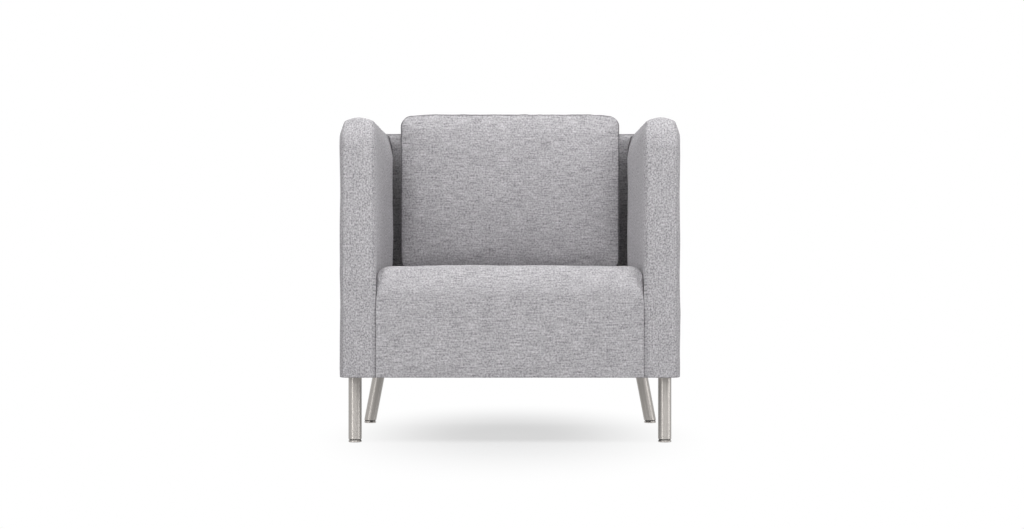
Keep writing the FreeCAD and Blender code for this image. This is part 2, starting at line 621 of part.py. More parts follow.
def glide_base(rear):
    """The bevelled disc that stands on the floor."""
    axis = foot(rear)
    radius = TUBE / 2 + GLIDE_PROUD
    profile = [
        (0, 0, 0),
        (radius - GLIDE_BEVEL, 0, 0),
        (radius, GLIDE_BEVEL, 0),
        (radius, GLIDE_HEIGHT - GLIDE_BEVEL, 0),
        (radius - GLIDE_BEVEL, GLIDE_HEIGHT, 0),
        (0, GLIDE_HEIGHT, 0),
    ]
    disc = Part.Face(Part.Wire(outline("XZ", profile))).revolve(V(0, 0, 0), V(0, 0, 1), 360)
    disc.translate(V(axis.x, axis.y, 0))
    floor = GLIDE_HEIGHT - 2 * STUD_FREE - STUD_HEAD_HEIGHT
    socket = round_bar(V(axis.x, axis.y, floor), V(0, 0, 1), STUD_HEAD / 2 + STUD_FREE, GLIDE_HEIGHT)
    return disc.cut(socket)


def leg_pieces():
    pieces = {}
    for name, rear in (("front", False), ("rear", True)):
        pieces[name + "_leg_right"] = leg(rear)
        pieces[name + "_leg_left"] = mirrored(leg(rear))
        pieces[name + "_leg_plugs"] = both_sides([leg_plug(rear)])
        for part, make in (("glide_stud", glide_stud), ("glide_base", glide_base)):
            pieces[f"{part}_{name}_right"] = make(rear)
            pieces[f"{part}_{name}_left"] = mirrored(make(rear))
    pieces["leg_screws"] = both_sides([leg_screw(x, y, 0) for x, y in screw_points()])
    return pieces


# ---- underside and frame joints
def dust_cover():
    """Thin cloth under the whole frame, cut out round the leg plates."""
    inset = BLOCK_CORNER
    sheet = box(
        (-WIDTH / 2 + inset, WIDTH / 2 - inset),
        (FRONT + inset, REAR - inset),
        (FRAME_BOTTOM - 1, FRAME_BOTTOM),
    )
    half = PLATE_DEPTH / 2 + SLACK
    x = (PLATE_X[0] - SLACK, PLATE_X[1] + SLACK)
    holes = [box(x, (y - half, y + half), (UNDERSIDE, FRAME_BOTTOM + 1)) for y in PLATES_Y]
    return sheet.cut(holes + [mirrored(h) for h in holes])


def joint_pieces():
    blocks = [joint_block(y, z, 0).cut(bolt_hole(y, z)) for y, z in bolt_points()]
    return {
        "joint_blocks": both_sides(blocks),
        "frame_bolts": both_sides([frame_bolt(y, z) for y, z in bolt_points()]),
        "frame_nuts": both_sides([frame_nut(y, z) for y, z in bolt_points()]),
        "dust_cover": dust_cover(),
    }


# ---- loose cushion
def cushion_pieces():
    middle = sum(CUSHION_Y) / 2
    ceiling = CUSHION_BOTTOM + ZIP_ROOM
    tape_z = (ceiling - ZIP_TAPE_THICKNESS, ceiling)
    coil_z = (tape_z[0] - ZIP_COIL_HEIGHT, tape_z[0])
    coil_end = ZIP_SIDE - ZIP_END
    tape = box((-ZIP_SIDE, ZIP_SIDE), (middle - ZIP_TAPE / 2, middle + ZIP_TAPE / 2), tape_z)
    coil = box((-coil_end, coil_end), (middle - ZIP_COIL / 2, middle + ZIP_COIL / 2), coil_z)
    start = -coil_end + SLIDER_START
    slider_x = (start, start + SLIDER_LENGTH)
    inner = ZIP_COIL / 2 + SLIDER_FREE
    outer = inner + SLIDER_WALL
    shell_z = (coil_z[0] - SLIDER_FREE - SLIDER_WALL, coil_z[1] - SLIDER_FREE)
    slider = box(slider_x, (middle - outer, middle + outer), shell_z)
    tunnel = box(slider_x, (middle - inner, middle + inner), (coil_z[0] - SLIDER_FREE, coil_z[1]))
    outside = cushion_form(0).cut(zip_channel(0))
    inside = cushion_form(FABRIC).cut(zip_channel(FABRIC))
    return {
        "cushion_core": cushion_form(SKIN).cut(zip_channel(SKIN)),
        "cushion_cover": outside.cut(inside),
        "zip_tape": tape.fuse(coil).removeSplitter(),
        "zip_slider": slider.cut(tunnel),
    }


def main():
    pieces = {}
    for name, shape in arm_pieces().items():
        pieces[name + "_right"] = shape
        pieces[name + "_left"] = mirrored(shape)
    for group in (back_pieces, seat_pieces, leg_pieces, joint_pieces, cushion_pieces):
        pieces.update(group())
    os.makedirs("parts", exist_ok=True)
    for name, shape in sorted(pieces.items()):
        solids = shape.Solids
        whole = solids[0] if len(solids) == 1 else Part.makeCompound(solids)
        whole.exportStep("parts/" + name + ".step")
        print(name, len(solids), whole.isValid(), round(whole.Volume / 1000, 1), "cm3")
    print(len(pieces), "pieces")


main()
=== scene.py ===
"""Upholstered box armchair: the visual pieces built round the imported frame.

Sizes are in millimetres and are turned to metres when a mesh is made. The chair faces -Y and +Z is up.
"""

import json
import logging
import math
from collections.abc import Callable
from dataclasses import dataclass, field, replace
from enum import Enum

import bpy
import numpy as np
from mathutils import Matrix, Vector


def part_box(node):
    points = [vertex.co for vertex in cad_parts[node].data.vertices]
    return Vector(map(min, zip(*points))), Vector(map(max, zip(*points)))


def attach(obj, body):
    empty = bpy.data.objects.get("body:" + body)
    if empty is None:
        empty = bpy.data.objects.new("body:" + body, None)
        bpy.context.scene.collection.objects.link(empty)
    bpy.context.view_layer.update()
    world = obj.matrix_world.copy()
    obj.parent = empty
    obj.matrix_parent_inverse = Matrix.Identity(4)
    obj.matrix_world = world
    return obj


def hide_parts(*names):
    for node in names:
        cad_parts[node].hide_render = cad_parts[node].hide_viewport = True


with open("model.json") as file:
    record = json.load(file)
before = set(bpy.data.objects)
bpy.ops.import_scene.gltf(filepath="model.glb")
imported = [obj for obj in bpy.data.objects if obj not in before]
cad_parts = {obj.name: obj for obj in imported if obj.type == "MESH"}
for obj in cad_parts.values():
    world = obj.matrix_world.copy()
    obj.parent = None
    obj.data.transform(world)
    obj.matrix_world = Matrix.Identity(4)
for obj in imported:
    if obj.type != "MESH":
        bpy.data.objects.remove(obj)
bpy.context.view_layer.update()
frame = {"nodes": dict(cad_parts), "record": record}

LOG = logging.getLogger("armchair")
MM = 0.001
Array = np.ndarray

# Distances from a seam at which a padded panel is cut, close together where the cloth turns.
SEAM_CUTS = (0.0, 0.8, 1.6, 2.6, 4.0, 6.0, 8.5, 11.5, 15.0, 19.0, 24.0, 30.0)
HEM_CUTS = (0.0, 0.7, 1.6, 3.0, 5.0, 9.0, 15.0)

# The underside that the frame and its dust cover fill: half its width and depth, and its height.
UNDER_HALF_WIDTH = 374.0
UNDER_HALF_DEPTH = 360.0
UNDER_HEIGHT = 154.0


class Side(Enum):
    """Which arm a piece belongs to, as the sign of its X."""

    LEFT = -1
    RIGHT = 1


# ---- numbers, colours and nodes
def linear(hex_colour: str) -> tuple[float, float, float, float]:
    """Turns an sRGB hex colour to a linear RGBA one.

    Args:
        hex_colour: six hex digits, with or without a leading #.

    Returns:
        The linear colour with an alpha of 1.
    """
    digits = hex_colour.lstrip("#")
    values = [int(digits[i : i + 2], 16) / 255 for i in (0, 2, 4)]
    low = [v / 12.92 if v <= 0.04045 else ((v + 0.055) / 1.055) ** 2.4 for v in values]
    return (low[0], low[1], low[2], 1.0)


def add_node(
    tree: bpy.types.NodeTree,
    kind: str,
    settings: dict[str, object] | None = None,
    links: dict[str | int, object] | None = None,
) -> bpy.types.Node:
    """Adds a shader node with its settings and links.

    Args:
        tree: the node tree it goes into.
        kind: the node's type without its ShaderNode prefix.
        settings: values of the node's own properties.
        links: for an input's name or number, the output that feeds it or its plain value.

    Returns:
        The new node.
    """
    node = tree.nodes.new("ShaderNode" + kind)
    for name, value in (settings or {}).items():
        setattr(node, name, value)
    for key, value in (links or {}).items():
        if isinstance(value, bpy.types.NodeSocket):
            tree.links.new(value, node.inputs[key])
        else:
            node.inputs[key].default_value = value
    return node


def maths(tree: bpy.types.NodeTree, operation: str, *values: object) -> bpy.types.NodeSocket:
    """Adds a Math node.

    Args:
        tree: the node tree it goes into.
        operation: what it does.
        values: the outputs or plain numbers it works on, in order.

    Returns:
        Its result.
    """
    return add_node(tree, "Math", {"operation": operation}, dict(enumerate(values))).outputs[0]


def new_material(name: str) -> tuple[bpy.types.Material, bpy.types.NodeTree]:
    """Makes an empty node material.

    Args:
        name: what it is called.

    Returns:
        The material and its node tree.
    """
    material = bpy.data.materials.new(name)
    material.use_nodes = True
    material.node_tree.nodes.clear()
    return material, material.node_tree


@dataclass(frozen=True)
class Ripple:
    """A smooth random field made of plane waves, the same on every run."""

    seed: int
    length: float
    waves: int = 28

    def at(self, points: Array) -> Array:
        """Gives the field at some points.

        Args:
            points: rows of x, y, z in millimetres.

        Returns:
            One value for each point, about 1 in strength.
        """
        draw = np.random.default_rng(self.seed)
        heading = draw.normal(size=(self.waves, 3))
        heading /= np.linalg.norm(heading, axis=1)[:, None]
        number = 2 * np.pi / (self.length * draw.uniform(0.7, 1.6, self.waves))
        phase = draw.uniform(0, 2 * np.pi, self.waves)
        waves = np.cos(points @ (heading * number[:, None]).T + phase)
        return waves.sum(axis=1) * math.sqrt(2 / self.waves)


def spaced(low: float, high: float, step: float, at_low: tuple, at_high: tuple) -> Array:
    """Places the cuts of one direction of a padded block.

    Args:
        low: where the block starts.
        high: where it ends.
        step: the widest distance between cuts in the middle.
        at_low: distances of the close cuts from the start.
        at_high: distances of the close cuts from the end.

    Returns:
        The places of the cuts, in order.
    """
    first = low + np.array(at_low)
    last = high - np.array(at_high[::-1])
    count = max(2, math.ceil((last[0] - first[-1]) / step) + 1)
    middle = np.linspace(first[-1], last[0], count)[1:-1]
    return np.concatenate([first, middle, last])


def smooth_step(low: float, high: float, value: Array) -> Array:
    """Eases from 0 at low to 1 at high.

    Args:
        low: where the ramp starts.
        high: where it ends.
        value: what is eased.

    Returns:
        Values from 0 to 1.
    """
    t = np.clip((value - low) / (high - low), 0, 1)
    return t * t * (3 - 2 * t)


def bell(distance: Array, reach: float) -> Array:
    """Fades from 1 at a seam along a bell curve.

    Args:
        distance: how far points are from the seam.
        reach: where it has faded to about a third.

    Returns:
        Values from 0 to 1.
    """
    return np.exp(-((distance / reach) ** 2))


def to_disc(u: Array, v: Array) -> tuple[Array, Array]:
    """Maps a square onto a disc, which turns a square corner into a round one.

    Args:
        u: places across the square, from 0 to 1.
        v: places up the square, from 0 to 1.

    Returns:
        The places on the disc.
    """
    return u * np.sqrt(1 - v * v / 2), v * np.sqrt(1 - u * u / 2)


def box_mm(node: str) -> tuple[Vector, Vector]:
    """Gives the box of a frame node.

    Args:
        node: the node's name.

    Returns:
        Its low and its high corner, in millimetres.
    """
    low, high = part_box(node)
    return low / MM, high / MM


@dataclass
class Grid:
    """A closed box of quads. Its six faces share the points along the box's edges."""

    points: Array
    quads: Array
    faces: Array

    @classmethod
    def cut(cls, xs: Array, ys: Array, zs: Array) -> "Grid":
        """Builds the box from the places of its cuts.

        Args:
            xs: cuts along X.
            ys: cuts along Y.
            zs: cuts along Z.

        Returns:
            The grid, whose faces hold 2 * axis for the low side and 2 * axis + 1 for the high one.
        """
        cuts = (xs, ys, zs)
        shell = np.zeros([len(c) for c in cuts], bool)
        for axis in range(3):
            ends = np.moveaxis(shell, axis, 0)
            ends[0] = True
            ends[-1] = True
        number = np.full(shell.shape, -1)
        number[shell] = np.arange(shell.sum())
        where = np.argwhere(shell)
        points = np.stack([cuts[a][where[:, a]] for a in range(3)], axis=1)
        quads, faces = [], []
        for axis in range(3):
            for high in (0, 1):
                sheet = np.take(number, -high, axis=axis)
                if axis == 1:
                    sheet = sheet.T
                corners = [sheet[:-1, :-1], sheet[1:, :-1], sheet[1:, 1:], sheet[:-1, 1:]]
                if not high:
                    corners.reverse()
                ring = np.stack([c.ravel() for c in corners], axis=1)
                quads.append(ring)
                faces.append(np.full(len(ring), 2 * axis + high))
        return cls(points.astype(float), np.concatenate(quads), np.concatenate(faces))

    def to_piece(
        self, name: str, shape: Array, seam: Array | None = None, turned: bool = False
    ) -> bpy.types.Object:
        """Makes the mesh, with its thread directions and the painted shade and wear along its seams.

        Args:
            name: the piece's name.
            shape: where the points end up, in millimetres.
            seam: how close each point is to a seam, which sets the painted shade and wear there, or nothing
                where no seam shows.
            turned: whether the cloth was cut with its weft upright.

        Returns:
            The new object, smooth shaded.
        """
        mesh = bpy.data.meshes.new(name)
        mesh.from_pydata((shape * MM).tolist(), [], self.quads.tolist())
        mesh.shade_smooth()
        threads = mesh.uv_layers.new(name="threads")
        across = np.array([1, 0, 0])[self.faces // 2]
        along = np.array([2, 2, 1])[self.faces // 2]
        corner = self.points[self.quads] * MM
        rows = np.arange(len(self.quads))[:, None]
        columns = np.arange(4)[None, :]
        u = corner[rows, columns, across[:, None]]
        v = corner[rows, columns, along[:, None]]
        pair = [v, u] if turned else [u, v]
        threads.data.foreach_set("uv", np.stack(pair, axis=2).ravel())
        if seam is None:
            seam = np.zeros(len(shape))
        # The seam attribute darkens the cloth in the material: painted shade and wear along the seams.
        mark = mesh.attributes.new("seam", "FLOAT", "POINT")
        mark.data.foreach_set("value", seam.astype(np.float32))
        piece = bpy.data.objects.new(name, mesh)
        bpy.context.scene.collection.objects.link(piece)
        return piece


def lift_hem(shape: Array, gap: float = 0.4, clearance: float = 0.05) -> Array:
    """Keeps the underside of a padded block above the dust cover, inside the chair's lower rim.

    Args:
        shape: points in millimetres.
        gap: how far the rim stays from the dust cover's edge.
        clearance: how far the underside stays above the dust cover.

    Returns:
        The points, with those under the frame raised to it.
    """
    under = np.abs(shape[:, 0]) < UNDER_HALF_WIDTH + gap
    under &= np.abs(shape[:, 1]) < UNDER_HALF_DEPTH + gap
    raised = np.maximum(shape[:, 2], UNDER_HEIGHT + clearance)
    shape[:, 2] = np.where(under, raised, shape[:, 2])
    return shape


# ---- finishes
@dataclass(frozen=True)
class WovenCloth:
    """Polyester melange in a plain weave: matt, with a soft bloom at a glancing angle.

    Each thread is spun from light and dark fibres, so the tone changes every few millimetres, and
    thick places in the yarn, the slubs, run both ways as short streaks.
    """

    name: str = "melange_weave"
    dark: str = "#7A787B"
    light: str = "#D0CED1"
    # Painted shade and wear along the seams multiply the cloth's tone by this colour.
    in_seam: str = "#8A888C"
    # The real threads are 0.6 mm apart, which can't show, so they are drawn three times as coarse.
    thread: float = 1.8
    fleck: float = 4.4
    slub: tuple[float, float] = (34.0, 1.9)
    cloud: float = 34.0
    # How strongly each of these changes the tone.
    flecked: float = 1.1
    weft: float = 0.85
    warp: float = 0.3
    clouded: float = 0.25
    woven: float = 0.16

    def make(self) -> bpy.types.Material:
        """Builds the material on the piece's thread map, which is in metres.

        Returns:
            The finished material.
        """
        material, tree = new_material(self.name)
        threads = add_node(tree, "UVMap", {"uv_map": "threads"}).outputs[0]
        fleck = self.noise(tree, threads, (self.fleck, self.fleck), 1.2)
        weft = self.noise(tree, threads, self.slub, 1.0)
        warp = self.noise(tree, threads, (self.slub[1], self.slub[0] / 3), 1.0)
        cloud = self.noise(tree, threads, (self.cloud, self.cloud), 2.0)
        weave = self.weave(tree, threads)
        yarns = [(fleck, self.flecked), (weft, self.weft), (warp, self.warp)]
        tone = self.weighted(tree, yarns + [(cloud, self.clouded), (weave, self.woven)])
        colour = add_node(
            tree,
            "Mix",
            {"data_type": "RGBA", "clamp_factor": True},
            {0: tone, 6: linear(self.dark), 7: linear(self.light)},
        )
        # The seam attribute paints shade and wear into the seams by darkening the cloth there.
        seam = add_node(tree, "Attribute", {"attribute_name": "seam"})
        shaded = add_node(
            tree,
            "Mix",
            {"data_type": "RGBA", "blend_type": "MULTIPLY"},
            {0: seam.outputs["Fac"], 6: colour.outputs[2], 7: linear(self.in_seam)},
        )
        height = self.weighted(tree, [(fleck, 0.7), (weft, 0.6), (warp, 0.5), (weave, 0.5)])
        bump = add_node(tree, "Bump", {}, {"Strength": 0.4, "Distance": 0.0006, "Height": height})
        cloth = add_node(
            tree,
            "BsdfPrincipled",
            {},
            {
                "Base Color": shaded.outputs[2],
                "Roughness": 0.93,
                "Specular IOR Level": 0.1,
                "Sheen Weight": 0.03,
                "Sheen Roughness": 0.45,
                "Sheen Tint": linear("#E8E6EA"),
                "Normal": bump.outputs[0],
            },
        )
        add_node(tree, "OutputMaterial", {}, {"Surface": cloth.outputs[0]})
        return material

    def noise(
        self, tree: bpy.types.NodeTree, threads: bpy.types.NodeSocket, size: tuple, detail: float
    ) -> bpy.types.NodeSocket:
        """Adds a patchy tone whose patches have a size.

        Args:
            tree: the material's nodes.
            threads: the thread map.
            size: the patches' length along each thread direction, in millimetres.
            detail: how many finer levels it has.

        Returns:
            The tone, about 0.5 on average.
        """
        scale = (1 / (size[0] * MM), 1 / (size[1] * MM), 1.0)
        place = add_node(tree, "VectorMath", {"operation": "MULTIPLY"}, {0: threads, 1: scale})
        settings = {"noise_dimensions": "2D"}
        links = {"Vector": place.outputs[0], "Scale": 1.0, "Detail": detail, "Roughness": 0.62}
        return add_node(tree, "TexNoise", settings, links).outputs[0]

    def weave(self, tree: bpy.types.NodeTree, threads: bpy.types.NodeSocket) -> bpy.types.NodeSocket:
        """Adds the over and under of a plain weave.

        Args:
            tree: the material's nodes.
            threads: the thread map.

        Returns:
            The weave's height, from 0 to 1.
        """
        turn = math.pi / (self.thread * MM)
        place = add_node(
            tree, "VectorMath", {"operation": "MULTIPLY"}, {0: threads, 1: (turn, turn, turn)}
        )
        wave = add_node(tree, "VectorMath", {"operation": "SINE"}, {0: place.outputs[0]})
        parts = add_node(tree, "SeparateXYZ", {}, {0: wave.outputs[0]})
        both = maths(tree, "MULTIPLY", parts.outputs[0], parts.outputs[1])
        return maths(tree, "MULTIPLY_ADD", both, 0.5, 0.5)

    def weighted(self, tree: bpy.types.NodeTree, parts: list[tuple]) -> bpy.types.NodeSocket:
        """Adds tones up about their middle.

        Args:
            tree: the material's nodes.
            parts: each tone with its weight.

        Returns:
            The sum, about 0.5 on average.
        """
        total: bpy.types.NodeSocket | float = 0.5 - sum(weight for _, weight in parts) / 2
        for tone, weight in parts:
            total = maths(tree, "MULTIPLY_ADD", tone, weight, total)
        return total


@dataclass(frozen=True)
class Solid:
    """A finish whose pattern is a noise stretched along the piece's own directions.

    The pattern is read from Object coordinates, so it stays with the piece. grain holds the length of
    the pattern along X, Y and Z in millimetres.
    """

    name: str
    dark: str
    light: str
    grain: tuple[float, float, float]
    roughness: tuple[float, float]
    metallic: float = 0.0
    bump: float = 0.05
    detail: float = 3.0
    sheen: float = 0.0
    specular: float = 0.5
    brushed: float = 0.0

    def make(self) -> bpy.types.Material:
        """Builds the material.

        Returns:
            The finished material.
        """
        material, tree = new_material(self.name)
        place = add_node(tree, "TexCoord").outputs["Object"]
        scale = tuple(1 / (length * MM) for length in self.grain)
        spread = add_node(tree, "Mapping", {}, {"Vector": place, "Scale": scale})
        links = {"Vector": spread.outputs[0], "Scale": 1.0, "Detail": self.detail, "Roughness": 0.6}
        noise = add_node(tree, "TexNoise", {}, links).outputs[0]
        spread_out = {"Value": noise, "From Min": 0.3, "From Max": 0.7}
        sharp = add_node(tree, "MapRange", {}, spread_out)
        colour = add_node(
            tree,
            "Mix",
            {"data_type": "RGBA"},
            {0: sharp.outputs[0], 6: linear(self.dark), 7: linear(self.light)},
        )
        smooth, matt = self.roughness
        rough = add_node(tree, "MapRange", {}, spread_out | {"To Min": smooth, "To Max": matt})
        bump = add_node(
            tree, "Bump", {}, {"Strength": 0.5, "Distance": self.bump * MM, "Height": noise}
        )
        surface = add_node(
            tree,
            "BsdfPrincipled",
            {},
            {
                "Base Color": colour.outputs[2],
                "Metallic": self.metallic,
                "Roughness": rough.outputs[0],
                "Specular IOR Level": self.specular,
                "Sheen Weight": self.sheen,
                "Anisotropic": self.brushed,
                "Normal": bump.outputs[0],
            },
        )
        if self.brushed:
            # The lines run round the tube, so light spreads along it: up and down.
            upright = add_node(tree, "CombineXYZ", {}, {"X": 0.03, "Y": 0.02, "Z": 1.0})
            tree.links.new(upright.outputs[0], surface.inputs["Tangent"])
        add_node(tree, "OutputMaterial", {}, {"Surface": surface.outputs[0]})
        return material


class Finish(Enum):
    """The finishes of the chair's hard and hidden pieces, under their slot names."""

    # Steel tube with a brushed nickel plate: fine lines round the tube blur what it reflects.
    satin_nickel = Solid(
        "brushed_nickel_plate", "#A19D99", "#AFABA7", (9.0, 9.0, 0.5), (0.37, 0.45), 1.0, 0.004, brushed=0.87
    )
    # Bright zinc plate, slightly patchy.
    zinc_steel = Solid(
        "zinc_plated_steel", "#9EA1A3", "#C2C5C8", (3.0, 3.0, 3.0), (0.3, 0.45), 1.0, 0.02
    )
    # Drawn spring wire, dark with a thin oil film.
    spring_steel = Solid(
        "oiled_spring_wire", "#4A4A4C", "#6C6B6A", (2.0, 2.0, 6.0), (0.3, 0.5), 1.0, 0.02
    )
    # Injection-moulded polyamide with a fine spark-eroded grain.
    black_nylon = Solid(
        "moulded_black_nylon", "#161617", "#222224", (0.8, 0.8, 0.8), (0.42, 0.58), 0.0, 0.03
    )
    # The same moulding in its natural off-white.
    white_nylon = Solid(
        "moulded_white_nylon", "#DAD8D0", "#EAE8E1", (0.8, 0.8, 0.8), (0.4, 0.55), 0.0, 0.03
    )
    # Needled grey felt, a tangle of fibres.
    felt = Solid(
        "needled_felt", "#6E6C67", "#A19E96", (1.6, 1.6, 1.6), (0.9, 1.0), 0.0, 0.5, 6.0, 0.2, 0.2
    )
    # Sawn pine whose grain runs along Y; the rails across the chair have their own direction below.
    pine = Solid("sawn_pine", "#B48A57", "#D9B985", (3.5, 90.0, 3.5), (0.6, 0.78), 0.0, 0.25, 5.0)
    # Pressed fibre board, brown and mottled.
    hardboard = Solid(
        "pressed_hardboard", "#6E4A2B", "#8C6540", (4.0, 4.0, 4.0), (0.55, 0.7), 0.0, 0.08, 6.0
    )
    # Woven elastic strap.
    webbing = Solid(
        "elastic_webbing", "#4A4136", "#7A6E5C", (30.0, 3.0, 1.2), (0.8, 0.95), 0.0, 0.3, 3.0, 0.1, 0.2
    )
    # Thin spun-bonded cloth, black and slightly shiny where its fibres are pressed.
    dust_cloth = Solid(
        "spun_bonded_cloth", "#131315", "#29292C", (2.4, 2.4, 2.4), (0.7, 0.9), 0.0, 0.25, 5.0, 0.1, 0.3
    )
    # Woven polyester zip tape.
    zip_tape = Solid(
        "zip_tape_weave", "#77757A", "#94929A", (1.0, 1.6, 1.0), (0.82, 0.95), 0.0, 0.2, 4.0, 0.1, 0.3
    )
    # Die-cast zinc with a dull nickel coat.
    zip_metal = Solid(
        "die_cast_zip_metal", "#8C8B89", "#AFAEAB", (1.5, 1.5, 1.5), (0.28, 0.42), 1.0, 0.02
    )


@dataclass
class Workshop:
    """Hands out materials, each made once."""

    made: dict[str, bpy.types.Material] = field(default_factory=dict)

    def cloth(self) -> bpy.types.Material:
        """Gives the cover's cloth."""
        return self.take(WovenCloth())

    def take(self, finish: WovenCloth | Solid) -> bpy.types.Material:
        """Gives the material of a finish, and makes it the first time.

        Args:
            finish: what is wanted.

        Returns:
            Its material.
        """
        if finish.name not in self.made:
            self.made[finish.name] = finish.make()
        return self.made[finish.name]

    def dress(self, piece: bpy.types.Object, material: bpy.types.Material) -> None:
        """Puts one material all over a piece.

        Args:
            piece: the object.
            material: its material.
        """
        if not piece.material_slots:
            piece.data.materials.append(material)
        for slot in piece.material_slots:
            slot.material = material


# ---- modelling with operators
def select_only(*pieces: bpy.types.Object) -> None:
    """Selects some pieces and nothing else, and makes the first one active.

    Args:
        pieces: what is selected.
    """
    bpy.ops.object.select_all(action="DESELECT")
    for piece in pieces:
        piece.select_set(True)
    bpy.context.view_layer.objects.active = pieces[0]


def modify(piece: bpy.types.Object, kind: str, settings: dict[str, object]) -> None:
    """Changes a piece's mesh with a modifier, which is applied.

    Args:
        piece: the object.
        kind: the modifier's type.
        settings: values of its properties.
    """
    select_only(piece)
    modifier = piece.modifiers.new(kind.lower(), kind)
    for name, value in settings.items():
        setattr(modifier, name, value)
    bpy.ops.object.modifier_apply(modifier=modifier.name)


def begin(name: str) -> bpy.types.Object:
    """Names the primitive that was just added and puts its place into its mesh.

    Args:
        name: the piece's name.

    Returns:
        The active object.
    """
    piece = bpy.context.object
    piece.name = name
    piece.data.name = name
    bpy.ops.object.transform_apply(location=True, rotation=True, scale=True)
    return piece


def pick(piece: bpy.types.Object, wanted: Callable[[bpy.types.MeshPolygon], bool]) -> None:
    """Selects the faces that pass a test, in object mode, so that edit mode starts with them.

    Args:
        piece: the object.
        wanted: says whether a face is selected.
    """
    mesh = piece.data
    for group in (mesh.vertices, mesh.edges, mesh.polygons):
        group.foreach_set("select", np.zeros(len(group), bool))
    for face in mesh.polygons:
        face.select = bool(wanted(face))


def join(parts: list[bpy.types.Object]) -> bpy.types.Object:
    """Joins pieces into the first one.

    Args:
        parts: the pieces.

    Returns:
        The first one.
    """
    select_only(*parts)
    bpy.ops.object.join()
    return parts[0]


def copies(piece: bpy.types.Object, places: list[tuple[float, float, float]]) -> bpy.types.Object:
    """Copies a piece to several places and joins the copies into it.

    Args:
        piece: the first one, as it is modelled.
        places: how far each copy is from it, in metres.

    Returns:
        The joined piece. The first one stays only where a place is nought.
    """
    mesh = piece.data
    count = len(mesh.vertices)
    points = np.empty(count * 3, np.float32)
    mesh.vertices.foreach_get("co", points)
    points = points.reshape(-1, 3)
    quads = [list(face.vertices) for face in mesh.polygons]
    spots = np.concatenate([points + np.array(place) for place in places])
    faces = [[v + count * i for v in quad] for i in range(len(places)) for quad in quads]
    whole = bpy.data.meshes.new(piece.name)
    whole.from_pydata(spots.tolist(), [], faces)
    whole.shade_smooth()
    piece.data = whole
    return piece


# ---- padded blocks
@dataclass
class Panel:
    """How far one large face of a padded block falls back towards its seams, and over what depth.

    Below the height held_below a neighbour presses on the panel, so it falls back over a shorter depth.
    """

    inset_ends: float
    inset_top: float
    depth_ends: float
    depth_top: float
    held_below: float = 0.0
    held_depth: float = 2.2
    # How sharply the cloth turns at the seam, as a power.
    turn: float = 1.4

    def inset(self, from_ends: Array, from_top: Array, height: Array) -> Array:
        """Gives how far the cloth lies behind the block's face.

        Args:
            from_ends: distance from the nearer upright seam.
            from_top: distance from the top seam.
            height: the points' heights.

        Returns:
            The inset at each point, in millimetres.
        """
        free = smooth_step(self.held_below - 30, self.held_below + 20, height)
        depth = self.held_depth + (self.depth_ends - self.held_depth) * free
        ends = np.clip(1 - from_ends / depth, 0, 1) ** self.turn * self.inset_ends
        top = np.clip(1 - from_top / self.depth_top, 0, 1) ** self.turn * self.inset_top
        both = np.hypot(ends, top)
        return np.minimum(both, np.maximum(self.inset_ends, self.inset_top))


